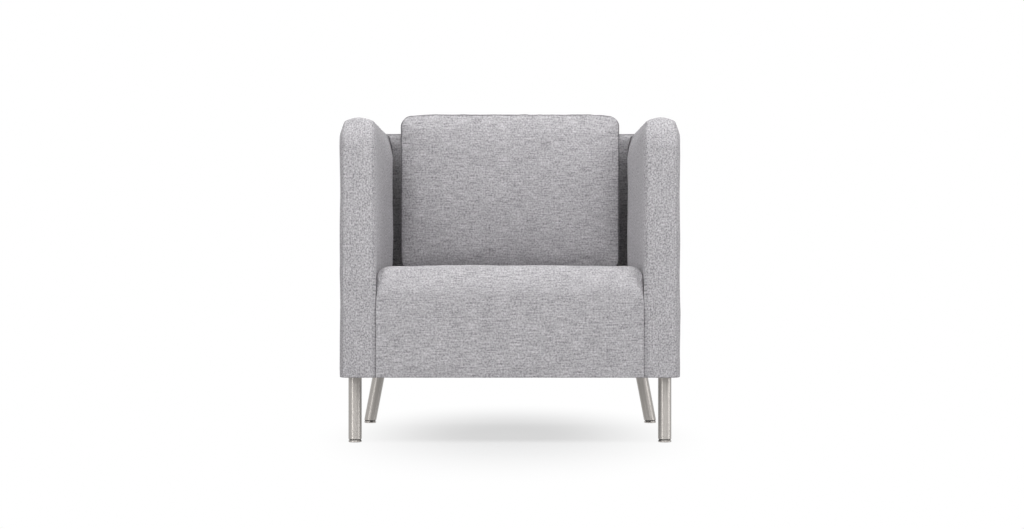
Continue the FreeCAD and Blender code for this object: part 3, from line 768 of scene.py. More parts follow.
@dataclass
class BoxedBlock:
    """A padded block with two large panels and a boxing band sewn between them.

    The band runs up one end, over the top and down the other end. thin is the axis from panel to panel,
    and long the level axis along the panels.
    """

    name: str
    thin: int
    thin_range: tuple[float, float]
    long_range: tuple[float, float]
    bottom: float
    top: float
    low_panel: Panel
    high_panel: Panel
    crown_ends: float
    crown_top: float
    corner: tuple[float, float]
    seed: int
    pinch: float = 0.8
    # How strongly the seams are darkened, as painted shade in the seam's groove and wear.
    seam_tone: float = 0.5
    wave: float = 0.5
    step: float = 6.0
    turned: bool = False
    # The seam draws the cloth in, and painted shade and wear darken the cloth along the seam, over these
    # distances; the lower rim is tucked in.
    pinch_reach: float = 1.7
    tone_reach: float = 1.6
    tuck: float = 0.8
    tuck_reach: float = 2.0
    # How long the padding's waves are, and how far from a seam they come up.
    wave_length: float = 150.0
    wave_reach: float = 22.0
    # The stitches gather small puckers, which fade away from the seam, and finer creases lie all over.
    pucker: float = 0.16
    pucker_length: float = 17.0
    pucker_reach: float = 9.0
    crease_length: float = 42.0

    def build(self, settle: Callable[[Array], Array]) -> bpy.types.Object:
        """Makes the block's mesh.

        Args:
            settle: fits the padded points to the block's neighbours.

        Returns:
            The new piece.
        """
        thin = spaced(*self.thin_range, 5.0, SEAM_CUTS[:8], SEAM_CUTS[:8])
        long = spaced(*self.long_range, self.step, SEAM_CUTS, SEAM_CUTS)
        high = spaced(self.bottom, self.top, self.step, HEM_CUTS, SEAM_CUTS)
        cuts = (thin, long, high) if self.thin == 0 else (long, thin, high)
        grid = Grid.cut(*cuts)
        shape, seam = self.shape(grid.points)
        return grid.to_piece(self.name, lift_hem(settle(shape)), seam, self.turned)

    def shape(self, points: Array) -> tuple[Array, Array]:
        """Pads the plain box.

        Args:
            points: the box's points.

        Returns:
            The padded points, and how close each is to a seam.
        """
        t, a, b = points[:, self.thin], points[:, 1 - self.thin], points[:, 2]
        across = (t - self.thin_range[0]) / (self.thin_range[1] - self.thin_range[0])
        from_ends = np.minimum(a - self.long_range[0], self.long_range[1] - a)
        from_top = self.top - b
        on_band = (from_ends < 1e-6) | (from_top < 1e-6)
        out_a, out_b = self.outward(a, b)
        half = (self.long_range[1] - self.long_range[0]) / 2
        flat_a = a - self.crown_ends * (a - sum(self.long_range) / 2) / half
        height = self.top - self.bottom
        flat_b = self.bottom + (b - self.bottom) * (height - self.crown_top) / height
        flat_a, flat_b = self.round_corners(flat_a, flat_b, self.corner_place(a, b))
        low = self.thin_range[0] + self.low_panel.inset(from_ends, from_top, b)
        high = self.thin_range[1] - self.high_panel.inset(from_ends, from_top, b)
        width = high - low
        spot = low + width * across
        crown = self.crown_ends + (self.crown_top - self.crown_ends) * out_b**2
        proud = np.where(on_band, crown * (1 - (2 * across - 1) ** 2), 0)
        to_seam = np.where(
            on_band, np.minimum(across, 1 - across) * width, np.minimum(from_ends, from_top)
        )
        pinch = self.pinch * bell(to_seam, self.pinch_reach)
        low_side = 1 - 2 * across
        hem = np.clip(1 - (b - self.bottom) / self.tuck_reach, 0, 1) ** 2 * self.tuck
        calm = 1 - np.exp(-to_seam / self.wave_reach)
        relief = self.wave * Ripple(self.seed, self.wave_length).at(points) * calm
        gathered = self.pucker * np.exp(-to_seam / self.pucker_reach)
        relief += gathered * Ripple(self.seed + 1, self.pucker_length).at(points)
        relief += self.pucker * Ripple(self.seed + 2, self.crease_length).at(points)
        relief *= smooth_step(self.bottom, self.bottom + 25, b)
        panel = np.where(on_band & (to_seam > 1e-6), 0, 1)
        spot += low_side * (0.7 * pinch + hem - relief * panel)
        push = proud - 0.75 * pinch + np.where(on_band, relief * 0.7 - hem, 0)
        shape = np.empty_like(points)
        shape[:, self.thin] = spot
        shape[:, 1 - self.thin] = flat_a + out_a * push
        shape[:, 2] = flat_b + out_b * push
        # Painted shade and wear along the seams, which the cloth's material darkens.
        seam = self.seam_tone * bell(to_seam, self.tone_reach) * (b > self.bottom + 1)
        return shape, seam

    def corner_place(self, a: Array, b: Array) -> tuple[Array, Array, Array]:
        """Gives where points lie in the squares round the outline's two top corners.

        Args:
            a: places along the long axis.
            b: heights.

        Returns:
            The end they are near as a sign, and the places along both sides of the square, 0 to 1.
        """
        middle = sum(self.long_range) / 2
        half = (self.long_range[1] - self.long_range[0]) / 2
        level, upright = self.corner
        u = np.clip((np.abs(a - middle) - (half - level)) / level, 0, 1)
        v = np.clip((b - (self.top - upright)) / upright, 0, 1)
        return np.sign(a - middle), u, v

    def outward(self, a: Array, b: Array) -> tuple[Array, Array]:
        """Gives the band's outward direction near each point, or nothing far from the band.

        Args:
            a: places along the long axis.
            b: heights.

        Returns:
            The direction's two parts.
        """
        side, u, v = self.corner_place(a, b)
        round_u, round_v = to_disc(u, v)
        out_a, out_b = round_u / self.corner[0], round_v / self.corner[1]
        length = np.maximum(np.hypot(out_a, out_b), 1e-6)
        return side * out_a / length, out_b / length

    def round_corners(self, a: Array, b: Array, place: tuple) -> tuple[Array, Array]:
        """Turns the outline's two square top corners into quarter ellipses.

        Args:
            a: places along the long axis.
            b: heights.
            place: where the points lie in the corners' squares.

        Returns:
            The places after the corners are rounded.
        """
        side, u, v = place
        round_u, round_v = to_disc(u, v)
        return a + side * (round_u - u) * self.corner[0], b + (round_v - v) * self.corner[1]


@dataclass
class Arm:
    """One padded arm: an upright boxed block with a crowned band round its edge."""

    side: Side
    inner: float = 300.3
    outer: float = 383.2
    depth: float = 732.0
    bottom: float = 147.4
    top: float = 732.6
    crown_top: float = 8.6
    inset_top: float = 7.5
    depth_top: float = 34.0
    # The inner panel swells towards the cushion, and least where the seat, back and top seam hold it.
    most_swell: float = 12.5
    swells_from: float = -340.0
    fullest_at: float = 95.0
    held_at: float = 250.0
    held_share: float = 0.88
    seat_line: tuple[float, float] = (360.0, 402.0)
    top_line: tuple[float, float] = (75.0, 6.0)
    held_below: float = 395.0
    # How much narrower the crowned band is than the arm.
    band_drawn_in: float = 18.0
    # Cut with its weft upright, where the slubs hardly show.
    cloth: WovenCloth = WovenCloth("melange_weave_cut_crosswise", flecked=1.5, weft=0.3, warp=0.35)

    def build(self, shop: Workshop) -> bpy.types.Object:
        """Makes the arm's upholstery and hides the plain cover and padding.

        Args:
            shop: where its cloth comes from.

        Returns:
            The new piece.
        """
        name = self.side.name.lower()
        outside = Panel(inset_ends=9.8, inset_top=11.0, depth_ends=34.0, depth_top=38.0)
        inside = Panel(6.5, self.inset_top, 20.0, self.depth_top, held_below=self.held_below)
        low, high = (self.inner, self.outer), (inside, outside)
        if self.side is Side.LEFT:
            low, high = (-self.outer, -self.inner), (outside, inside)
        block = BoxedBlock(
            name=f"arm_upholstery_{name}",
            thin=0,
            thin_range=low,
            long_range=(-self.depth / 2, self.depth / 2),
            bottom=self.bottom,
            top=self.top,
            low_panel=high[0],
            high_panel=high[1],
            crown_ends=2.2,
            crown_top=self.crown_top,
            corner=(40.0, 62.0),
            seed=11 if self.side is Side.LEFT else 47,
            pinch=0.25,
            seam_tone=0.14,
            turned=True,
        )
        piece = block.build(self.swell)
        shop.dress(piece, shop.take(self.cloth))
        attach(piece, "chair")
        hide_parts(f"arm_cover_{name}", f"arm_padding_{name}")
        return piece

    def swelling(self, y: Array, z: Array) -> Array:
        """Gives how far the inner panel swells past its plane where nothing presses on it.

        Args:
            y: places from front to rear.
            z: heights.

        Returns:
            The swelling in millimetres.
        """
        along = smooth_step(self.swells_from, self.fullest_at, y)
        along -= self.held_share * smooth_step(self.fullest_at, self.held_at, y)
        top_from, top_to = (self.top - distance for distance in self.top_line)
        up = smooth_step(*self.seat_line, z) * (1 - smooth_step(top_from, top_to, z))
        return self.most_swell * along * up

    def swell(self, shape: Array) -> Array:
        """Moves the inner panel towards the middle of the chair.

        Args:
            shape: the padded points.

        Returns:
            The points after the move.
        """
        way = -self.side.value
        inner_share = np.clip((self.outer - np.abs(shape[:, 0])) / (self.outer - self.inner), 0, 1)
        shape[:, 0] += way * self.swelling(shape[:, 1], shape[:, 2]) * inner_share**2
        return shape

    def inner_face(self, y: Array, z: Array) -> Array:
        """Gives where the inner panel lies, as a distance from the middle of the chair.

        Args:
            y: places from front to rear.
            z: heights.

        Returns:
            The distances in millimetres.
        """
        seam = self.top - self.crown_top
        falls = np.clip(1 - (seam - z) / self.depth_top, 0, 1) ** Panel.turn * self.inset_top
        over = np.clip((z - seam) / self.crown_top, 0, 1)
        half_band = (self.outer - self.inner - self.band_drawn_in) / 2
        band = half_band * (1 - np.sqrt(1 - over))
        return self.inner + falls + band - self.swelling(y, z)


@dataclass
class Back:
    """The fixed back between the arms, boxed along its top."""

    half_width: float = 299.2
    front: float = 266.2
    rear: float = 366.0
    bottom: float = 147.4
    top: float = 732.8
    clearance: float = 0.3

    def build(self, shop: Workshop) -> bpy.types.Object:
        """Makes the back's upholstery and hides the plain cover and padding.

        Args:
            shop: where its cloth comes from.

        Returns:
            The new piece.
        """
        panel = Panel(inset_ends=0.4, inset_top=5.0, depth_ends=3.0, depth_top=16.0)
        block = BoxedBlock(
            name="back_upholstery",
            thin=1,
            thin_range=(self.front, self.rear),
            long_range=(-self.half_width, self.half_width),
            bottom=self.bottom,
            top=self.top,
            low_panel=panel,
            high_panel=panel,
            crown_ends=0.1,
            crown_top=2.8,
            corner=(1.5, 1.5),
            seed=83,
            # The back's seams are darkened strongly: painted shade and wear where they lie in the narrow
            # gaps beside the arms.
            seam_tone=0.9,
            wave=0.3,
        )
        piece = block.build(self.fill)
        shop.dress(piece, shop.cloth())
        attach(piece, "chair")
        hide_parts("back_cover", "back_padding")
        return piece

    def fill(self, shape: Array) -> Array:
        """Makes the back as wide as the room between the arms at every height.

        Args:
            shape: the padded points.

        Returns:
            The points after the move.
        """
        room = Arm(Side.RIGHT).inner_face(shape[:, 1], shape[:, 2]) - self.clearance
        shape[:, 0] *= room / self.half_width
        return shape


@dataclass
class Seat:
    """The seat block: its cover runs over the front edge and down to the lower rim in one piece."""

    half_width: float = 299.8
    front: float = -366.0
    rear: float = 265.4
    bottom: float = 147.4
    top: float = 399.4
    rear_top: float = 389.7
    front_round: tuple[float, float] = (48.0, 74.0)
    side_round: tuple[float, float] = (30.0, 27.0)
    joint_round: float = 0.8
    # The sides' rounding starts and is full at these distances below the top.
    rounds_below: tuple[float, float] = (95.0, 20.0)
    # The top arches by this much, over this half width, and less towards the cushion.
    crown: float = 2.4
    crown_half: float = 270.0
    crown_loss: float = 0.6
    cushion_front: float = 115.7
    # How full the front is in its middle, how high the padding's long and short waves are, and how far
    # the lower rim is tucked in.
    belly: float = 1.6
    waves: tuple[float, float] = (0.8, 0.2)
    tuck: float = 0.8
    tuck_reach: float = 2.0
    # How far apart the cuts are in the middle, level and upright.
    step_level: float = 7.0
    step_upright: float = 6.0

    def build(self, shop: Workshop) -> bpy.types.Object:
        """Makes the seat's upholstery and hides the plain cover, foam and front padding.

        Args:
            shop: where its cloth comes from.

        Returns:
            The new piece.
        """
        xs = spaced(-self.half_width, self.half_width, self.step_level, SEAM_CUTS, SEAM_CUTS)
        ys = spaced(self.front, self.rear, self.step_level, SEAM_CUTS, SEAM_CUTS[:8])
        zs = spaced(self.bottom, self.top, self.step_upright, HEM_CUTS, SEAM_CUTS)
        grid = Grid.cut(xs, ys, zs)
        piece = grid.to_piece("seat_upholstery", self.shape(grid.points))
        shop.dress(piece, shop.cloth())
        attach(piece, "chair")
        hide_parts("seat_cover", "seat_foam", "seat_front_padding")
        return piece

    def round_edges(self, points: Array) -> Array:
        """Rolls the front edge over in a large round, and rounds the two side edges less.

        Args:
            points: the box's points.

        Returns:
            The rounded points.
        """
        x, y, z = points.T.copy()
        reach_y, reach_z = self.front_round
        v = np.clip((self.front + reach_y - y) / reach_y, 0, 1)
        w = np.clip((z - (self.top - reach_z)) / reach_z, 0, 1)
        round_v, round_w = to_disc(v, w)
        out = np.stack([-round_v / reach_y, round_w / reach_z])
        out /= np.maximum(np.hypot(out[0], out[1]), 1e-6)
        low_end, high_end = (self.top - distance for distance in self.rounds_below)
        high = smooth_step(low_end, high_end, z)
        wide = self.joint_round + (self.side_round[0] - self.joint_round) * high
        deep = self.joint_round + (self.side_round[1] - self.joint_round) * high
        u = np.clip((np.abs(x) - (self.half_width - wide)) / wide, 0, 1)
        q = np.clip(1 - np.minimum(self.top - z, y - self.front) / deep, 0, 1)
        round_u, round_q = to_disc(u, q)
        sink = (q - round_q) * deep
        new_x = x + np.sign(x) * (round_u - u) * wide
        new_y = y - (round_v - v) * reach_y - out[0] * sink
        new_z = z + (round_w - w) * reach_z - out[1] * sink
        return np.stack([new_x, new_y, new_z], axis=1)

    def shape(self, points: Array) -> Array:
        """Rounds and crowns the plain box.

        Args:
            points: the box's points.

        Returns:
            The padded points.
        """
        _, y, z = points.T
        shape = self.round_edges(points)
        # The top slopes back to where the cushion rests, and arches a little from arm to arm.
        upper = smooth_step(self.top - 60, self.top, z)
        back = np.clip((y - self.front) / (self.cushion_front - self.front), 0, 1)
        slope = (self.top - self.rear_top) * smooth_step(0, 1, back)
        arch = self.crown * (shape[:, 0] / self.crown_half) ** 2 * (1 - back * self.crown_loss)
        shape[:, 2] -= upper * (slope + arch * (1 - 0.9 * smooth_step(0.97, 1.0, back)))
        # The front is fullest in its middle, and lies back a little at the arms, top and lower rim.
        belly = (1 - (shape[:, 0] / self.half_width) ** 4) * self.belly
        middle = smooth_step(self.bottom, self.bottom + 40, z) * smooth_step(self.top, self.top - 60, z)
        face = smooth_step(self.front + 30, self.front, y)
        swell = self.waves[0] * Ripple(seed=5, length=170).at(points)
        swell = swell + self.waves[1] * Ripple(seed=6, length=45).at(points)
        free = 1 - smooth_step(self.cushion_front - 40, self.cushion_front, y)
        hem = np.clip(1 - (z - self.bottom) / self.tuck_reach, 0, 1) ** 2 * self.tuck
        shape[:, 1] += face * (self.belly - belly * middle + 0.7 * swell * middle)
        shape[:, 1] += np.where(y < self.front + 1, hem, 0)
        shape[:, 2] += smooth_step(self.top - 25, self.top, z) * swell * free
        under_cushion = np.minimum(shape[:, 2], self.rear_top)
        shape[:, 2] = np.where(y < self.cushion_front, shape[:, 2], under_cushion)
        return lift_hem(shape)


@dataclass
class Cushion:
    """The loose back cushion: two panels and a boxing sewn round the whole edge, over a soft core."""

    half_width: float = 269.4
    front: float = 135.0
    rear: float = 265.4
    bottom: float = 390.6
    top: float = 770.6
    # The cuts along each axis, and how much closer they lie towards the ends.
    cuts: tuple[int, int, int] = (91, 25, 65)
    gather: float = 0.24
    # How round the upper corners are in the front view, and the lower ones as a share of that.
    corner: float = 27.0
    lower_corner: float = 0.8
    # The upper corners hang by this much, from this far above the middle and these shares of the width.
    droop: float = 3.5
    droop_above: float = 60.0
    droop_aside: tuple[float, float] = (0.7, 0.98)
    # The panels roll over at the seams, over this distance, and dome between them. The filling has
    # settled, so they are fullest below the middle. The powers say how flat the dome is in each way.
    roll: float = 13.0
    roll_reach: float = 15.0
    dome: float = 21.0
    fullest: float = -0.3
    flat_above: float = 1.8
    flat_below: float = 2.2
    flat_aside: float = 1.9
    rear_share: float = 0.2
    band_swell: float = 2.2
    pressure: float = 4.0
    most_travel: float = 22.0
    most_spread: float = 3.0
    sim_share: float = 0.3
    sim_reach: float = 30.0
    frames: int = 20
    # Height and length of the puckers along the seams, of the panels' long waves and of the slight
    # creases all over. The puckers fade, and the waves come up, over these distances from a seam.
    puckers: tuple[float, float] = (0.25, 19.0)
    pucker_reach: float = 10.0
    waves: tuple[float, float] = (0.6, 110.0)
    wave_reach: float = 25.0
    creases: tuple[float, float] = (0.2, 38.0)
    # The stitches draw the seam in over this distance, and painted shade and wear darken the cloth along it
    # over the same distance.
    seam_reach: float = 2.0
    seam_depth: float = 1.0
    rear_gap: float = 0.4
    seat_gap: float = 0.3
    zip_half: tuple[float, float] = (245.5, 14.5)
    zip_ceiling: float = 396.6
    # The slit's rim falls between these distances from its edge, in what lies this near the bottom.
    zip_rim: tuple[float, float] = (-1.0, 4.0)
    zip_skin: float = 6.0

    def build(self, shop: Workshop) -> bpy.types.Object:
        """Makes the cushion, blows it up as cloth, then rests it on the seat and against the back.

        Args:
            shop: where its cloth comes from.

        Returns:
            The new piece.
        """
        xs = np.linspace(-self.half_width, self.half_width, self.cuts[0])
        ys = np.linspace(self.front, self.rear, self.cuts[1])
        zs = np.linspace(self.bottom, self.top, self.cuts[2])
        grid = Grid.cut(self.gathered(xs), self.gathered(ys), self.gathered(zs))
        start = self.round_outline(grid.points)
        to_seam = self.seam_distance(grid.points)
        piece = grid.to_piece("back_cushion_upholstery", start, to_seam)
        filled = self.dome_out(grid.points, start, to_seam)
        blown = self.inflate(piece, start)
        free = 1 - np.exp(-to_seam / self.sim_reach)
        filled += (blown - filled) * self.sim_share * free[:, None]
        piece.data.vertices.foreach_set("co", (filled * MM).ravel())
        modify(piece, "SUBSURF", {"levels": 1, "render_levels": 1})
        self.finish(piece)
        shop.dress(piece, shop.cloth())
        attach(piece, "back_cushion")
        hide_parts("cushion_cover", "cushion_core")
        return piece

    def gathered(self, cuts: Array) -> Array:
        """Moves evenly spaced cuts towards both ends, where the cloth turns and needs them closer.

        Args:
            cuts: the cuts' places.

        Returns:
            The places after the move.
        """
        middle, half = (cuts[0] + cuts[-1]) / 2, (cuts[-1] - cuts[0]) / 2
        t = (cuts - middle) / half
        return middle + half * (t + self.gather * np.sin(np.pi * t) / np.pi * 2)

    def round_outline(self, points: Array) -> Array:
        """Rounds the four corners of the front view.

        Args:
            points: the box's points.

        Returns:
            The rounded points.
        """
        shape = points.copy()
        middle = (self.bottom + self.top) / 2
        half_z = (self.top - self.bottom) / 2
        radius = np.where(points[:, 2] > middle, self.corner, self.corner * self.lower_corner)
        u = np.clip((np.abs(points[:, 0]) - (self.half_width - radius)) / radius, 0, 1)
        w = np.clip((np.abs(points[:, 2] - middle) - (half_z - radius)) / radius, 0, 1)
        round_u, round_w = to_disc(u, w)
        shape[:, 0] += np.sign(points[:, 0]) * (round_u - u) * radius
        shape[:, 2] += np.sign(points[:, 2] - middle) * (round_w - w) * radius
        # The two upper corners hang a little, as they hold less filling.
        high = smooth_step(middle + self.droop_above, self.top, points[:, 2])
        aside = smooth_step(*self.droop_aside, np.abs(points[:, 0]) / self.half_width)
        shape[:, 2] -= self.droop * high * aside
        return shape

    def seam_distance(self, points: Array) -> Array:
        """Gives how far each point is from the nearer of the two seam rings.

        Args:
            points: the box's points.

        Returns:
            The distances in millimetres.
        """
        low = np.array([-self.half_width, self.front, self.bottom])
        high = np.array([self.half_width, self.rear, self.top])
        edge = np.minimum(points - low, high - points)
        rim = np.minimum(edge[:, 0], edge[:, 2])
        return np.where(rim < 1e-6, edge[:, 1], rim)

    def dome_out(self, points: Array, start: Array, to_seam: Array) -> Array:
        """Domes the two panels and swells the boxing between its seams.

        Args:
            points: the box's points.
            start: the points after the outline is rounded.
            to_seam: their distances from the seams.

        Returns:
            The domed points.
        """
        shape = start.copy()
        middle = (self.bottom + self.top) / 2
        u = points[:, 0] / self.half_width
        w = (points[:, 2] - middle) / ((self.top - self.bottom) / 2)
        v = (points[:, 1] - (self.front + self.rear) / 2) / ((self.rear - self.front) / 2)
        on_panel = np.abs(v) > 1 - 1e-6
        roll = self.roll * (1 - np.exp(-to_seam / self.roll_reach))
        above = np.clip((w - self.fullest) / (1 - self.fullest), 0, 1) ** self.flat_above
        below = np.clip((self.fullest - w) / (1 + self.fullest), 0, 1) ** self.flat_below
        full = self.dome * (1 - np.abs(u) ** self.flat_aside) * (1 - above - below)
        strength = np.where(v < 0, 1.0, self.rear_share)
        shape[:, 1] += np.where(on_panel, v * strength * (roll + full), 0)
        band = np.where(on_panel, 0, (1 - v**2) * self.band_swell)
        # A high power picks the nearer side, and shares the swelling out in the corners.
        power = 24
        aside, upward = np.abs(u) ** power, np.abs(w) ** power
        length = np.maximum(np.hypot(aside, upward), 1e-9)
        shape[:, 0] += band * np.sign(u) * aside / length
        shape[:, 2] += band * np.sign(w) * upward / length
        return shape

    def inflate(self, piece: bpy.types.Object, start: Array) -> Array:
        """Blows the cushion up as cloth under pressure, and caps how far a point may go.

        Args:
            piece: the cushion.
            start: its points before.

        Returns:
            Its points after, moved little across the panels.
        """
        cloth = piece.modifiers.new("filling", "CLOTH")
        settings = cloth.settings
        settings.quality = 6
        settings.mass = 0.3
        settings.tension_stiffness = 12
        settings.compression_stiffness = 12
        settings.shear_stiffness = 6
        settings.bending_stiffness = 2.5
        settings.use_pressure = True
        settings.uniform_pressure_force = self.pressure
        settings.effector_weights.gravity = 0
        cloth.point_cache.frame_end = self.frames
        for step in range(1, self.frames + 1):
            bpy.context.scene.frame_set(step)
        view = bpy.context.evaluated_depsgraph_get()
        blown = np.empty(len(start) * 3)
        piece.evaluated_get(view).data.vertices.foreach_get("co", blown)
        blown = blown.reshape(-1, 3) / MM
        piece.modifiers.remove(cloth)
        bpy.context.scene.frame_set(1)
        way = blown - start
        far = np.maximum(np.linalg.norm(way, axis=1), 1e-9)
        LOG.info("cushion blown up by at most %.1f mm", far.max())
        way *= (np.minimum(far, self.most_travel) / far)[:, None]
        # The panels keep their outline: they swell forward and back, hardly aside or upward.
        way[:, [0, 2]] = np.clip(way[:, [0, 2]], -self.most_spread, self.most_spread)
        return start + way

    def finish(self, piece: bpy.types.Object) -> None:
        """Sews the seams in and paints shade and wear along them, adds small creases, and flattens the
        cushion where it rests.

        Args:
            piece: the cushion.
        """
        mesh = piece.data
        count = len(mesh.vertices)
        points = np.empty(count * 3)
        normals = np.empty(count * 3)
        to_seam = np.empty(count)
        mesh.vertices.foreach_get("co", points)
        mesh.vertices.foreach_get("normal", normals)
        mesh.attributes["seam"].data.foreach_get("value", to_seam)
        points = points.reshape(-1, 3) / MM
        normals = normals.reshape(-1, 3)
        height, length = self.puckers
        crease = height * Ripple(21, length).at(points) * np.exp(-to_seam / self.pucker_reach)
        height, length = self.waves
        crease += height * Ripple(22, length).at(points) * (1 - np.exp(-to_seam / self.wave_reach))
        height, length = self.creases
        crease += height * Ripple(23, length).at(points)
        crease -= self.seam_depth * bell(to_seam, self.seam_reach)
        points += normals * crease[:, None]
        points[:, 1] = self.rest_against(points[:, 1], self.rear - self.rear_gap)
        points[:, 2] = -self.rest_against(-points[:, 2], -self.bottom - self.seat_gap)
        self.open_zip(points)
        mesh.vertices.foreach_set("co", (points * MM).ravel())
        # Painted shade and wear along the seams, which the material darkens.
        mark = bell(to_seam, self.seam_reach)
        mesh.attributes["seam"].data.foreach_set("value", mark.astype(np.float32))
        mesh.update()

    def rest_against(self, value: Array, limit: float, soft: float = 2.5) -> Array:
        """Flattens softly what would go past a flat support.

        Args:
            value: places along the support's direction.
            limit: where the support is.
            soft: how far before it the flattening starts.

        Returns:
            Places that never pass the limit.
        """
        over = np.maximum(value - (limit - soft), 0)
        return np.where(value > limit - soft, limit - soft * np.exp(-over / soft), value)

    def open_zip(self, points: Array) -> None:
        """Raises the underside over the zip, so that it lies in a shallow channel.

        Args:
            points: the cushion's points, changed in place.
        """
        middle = (self.front + self.rear) / 2
        low = points[:, 2] < self.bottom + self.zip_skin
        half_length, half_width = self.zip_half
        past_end = np.abs(points[:, 0]) - half_length
        beside = np.maximum(past_end, np.abs(points[:, 1] - middle) - half_width)
        lift = 1 - smooth_step(*self.zip_rim, beside)
        wanted = points[:, 2] + (self.zip_ceiling - points[:, 2]) * lift
        points[:, 2] = np.where(low, np.maximum(points[:, 2], wanted), points[:, 2])


# ---- hidden soft and light pieces
@dataclass
class Springs:
    """Five zigzag springs across the seat's frame, bent from round wire."""

    count: int = 5
    wire: float = 3.8
    bar: float = 26.0
    pitch: float = 22.0

    def build(self, shop: Workshop) -> bpy.types.Object:
        """Bends one spring and copies it.

        Args:
            shop: where its finish comes from.

        Returns:
            The new piece.
        """
        low, high = box_mm("seat_springs")
        first, last = low.y + self.wire / 2, high.y - self.wire / 2
        level = (low.z + high.z) / 2
        bars = round((last - first) / self.pitch)
        bend = (last - first) / bars / 2
        reach = self.bar / 2 + bend + self.wire / 2
        rows = np.linspace(low.x + reach, high.x - reach, self.count)
        bpy.ops.object.select_all(action="DESELECT")
        bpy.ops.mesh.primitive_circle_add(
            vertices=10,
            radius=self.wire / 2 * MM,
            fill_type="NGON",
            location=(-self.bar / 2 * MM, first * MM, level * MM),
            rotation=(0, math.pi / 2, 0),
        )
        piece = begin("seat_spring_wires")
        bpy.ops.object.mode_set(mode="EDIT")
        bpy.ops.mesh.select_all(action="SELECT")
        for i in range(bars + 1):
            way = 1 if i % 2 == 0 else -1
            shift = (way * self.bar * MM, 0, 0)
            bpy.ops.mesh.extrude_region_move(TRANSFORM_OT_translate={"value": shift})
            if i < bars:
                centre = (way * self.bar / 2 * MM, (first + (2 * i + 1) * bend) * MM, level * MM)
                bpy.ops.mesh.spin(
                    steps=8, angle=math.pi, center=centre, axis=(0, 0, -way), use_auto_merge=False
                )
        bpy.ops.mesh.select_all(action="SELECT")
        bpy.ops.mesh.remove_doubles(threshold=0.01 * MM)
        bpy.ops.mesh.normals_make_consistent(inside=False)
        bpy.ops.object.mode_set(mode="OBJECT")
        piece = copies(piece, [(row * MM, 0, 0) for row in rows])
        shop.dress(piece, shop.take(Finish.spring_steel.value))
        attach(piece, "chair")
        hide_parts("seat_springs")
        return piece


@dataclass
class Webbing:
    """Elastic straps across the back's frame, stapled to its posts."""

    count: int = 5
    width: float = 50.0
    # The straps lie between these depths of the frame's webbing, and wave by this much.
    depths: tuple[float, float] = (0.2, 1.7)
    wave: float = 0.25
    # From here on they lie flat on the posts, where they are stapled.
    on_posts: tuple[float, float] = (250.0, 276.0)

    def build(self, shop: Workshop) -> bpy.types.Object:
        """Makes the straps, each slightly waved.

        Args:
            shop: where its finish comes from.

        Returns:
            The new piece.
        """
        low, high = box_mm("back_webbing")
        starts = np.linspace(low.z, high.z - self.width, self.count)
        xs = np.linspace(low.x, high.x, 61)
        ys = np.array([low.y + depth for depth in self.depths])
        parts = []
        for start in starts:
            zs = np.linspace(start, start + self.width, 9)
            grid = Grid.cut(xs, ys, zs)
            free = 1 - smooth_step(*self.on_posts, np.abs(grid.points[:, 0]))
            grid.points[:, 1] += self.wave * Ripple(seed=31, length=60).at(grid.points) * free
            parts.append(grid.to_piece("back_webbing_straps", grid.points))
        piece = join(parts)
        shop.dress(piece, shop.take(Finish.webbing.value))
        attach(piece, "chair")
        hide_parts("back_webbing")
        return piece


@dataclass
class Insulator:
    """The felt pad over the springs."""

    dent: float = 0.5
    most_dent: float = 1.2
    border: float = 25.0

    def build(self, shop: Workshop) -> bpy.types.Object:
        """Makes the pad, pressed in a little between the springs.

        Args:
            shop: where its finish comes from.

        Returns:
            The new piece.
        """
        low, high = box_mm("spring_insulator")
        xs = np.linspace(low.x, high.x, 61)
        ys = np.linspace(low.y, high.y, 61)
        zs = np.linspace(low.z, high.z, 3)
        grid = Grid.cut(xs, ys, zs)
        shape = grid.points.copy()
        dented = (shape[:, 2] > high.z - 1) & (np.abs(shape[:, 0]) < high.x - self.border)
        dent = self.dent * (1 + Ripple(seed=41, length=35).at(shape)) * dented
        shape[:, 2] -= np.clip(dent, 0, self.most_dent)
        piece = grid.to_piece("spring_insulator_pad", shape)
        shop.dress(piece, shop.take(Finish.felt.value))
        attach(piece, "chair")
        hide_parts("spring_insulator")
        return piece


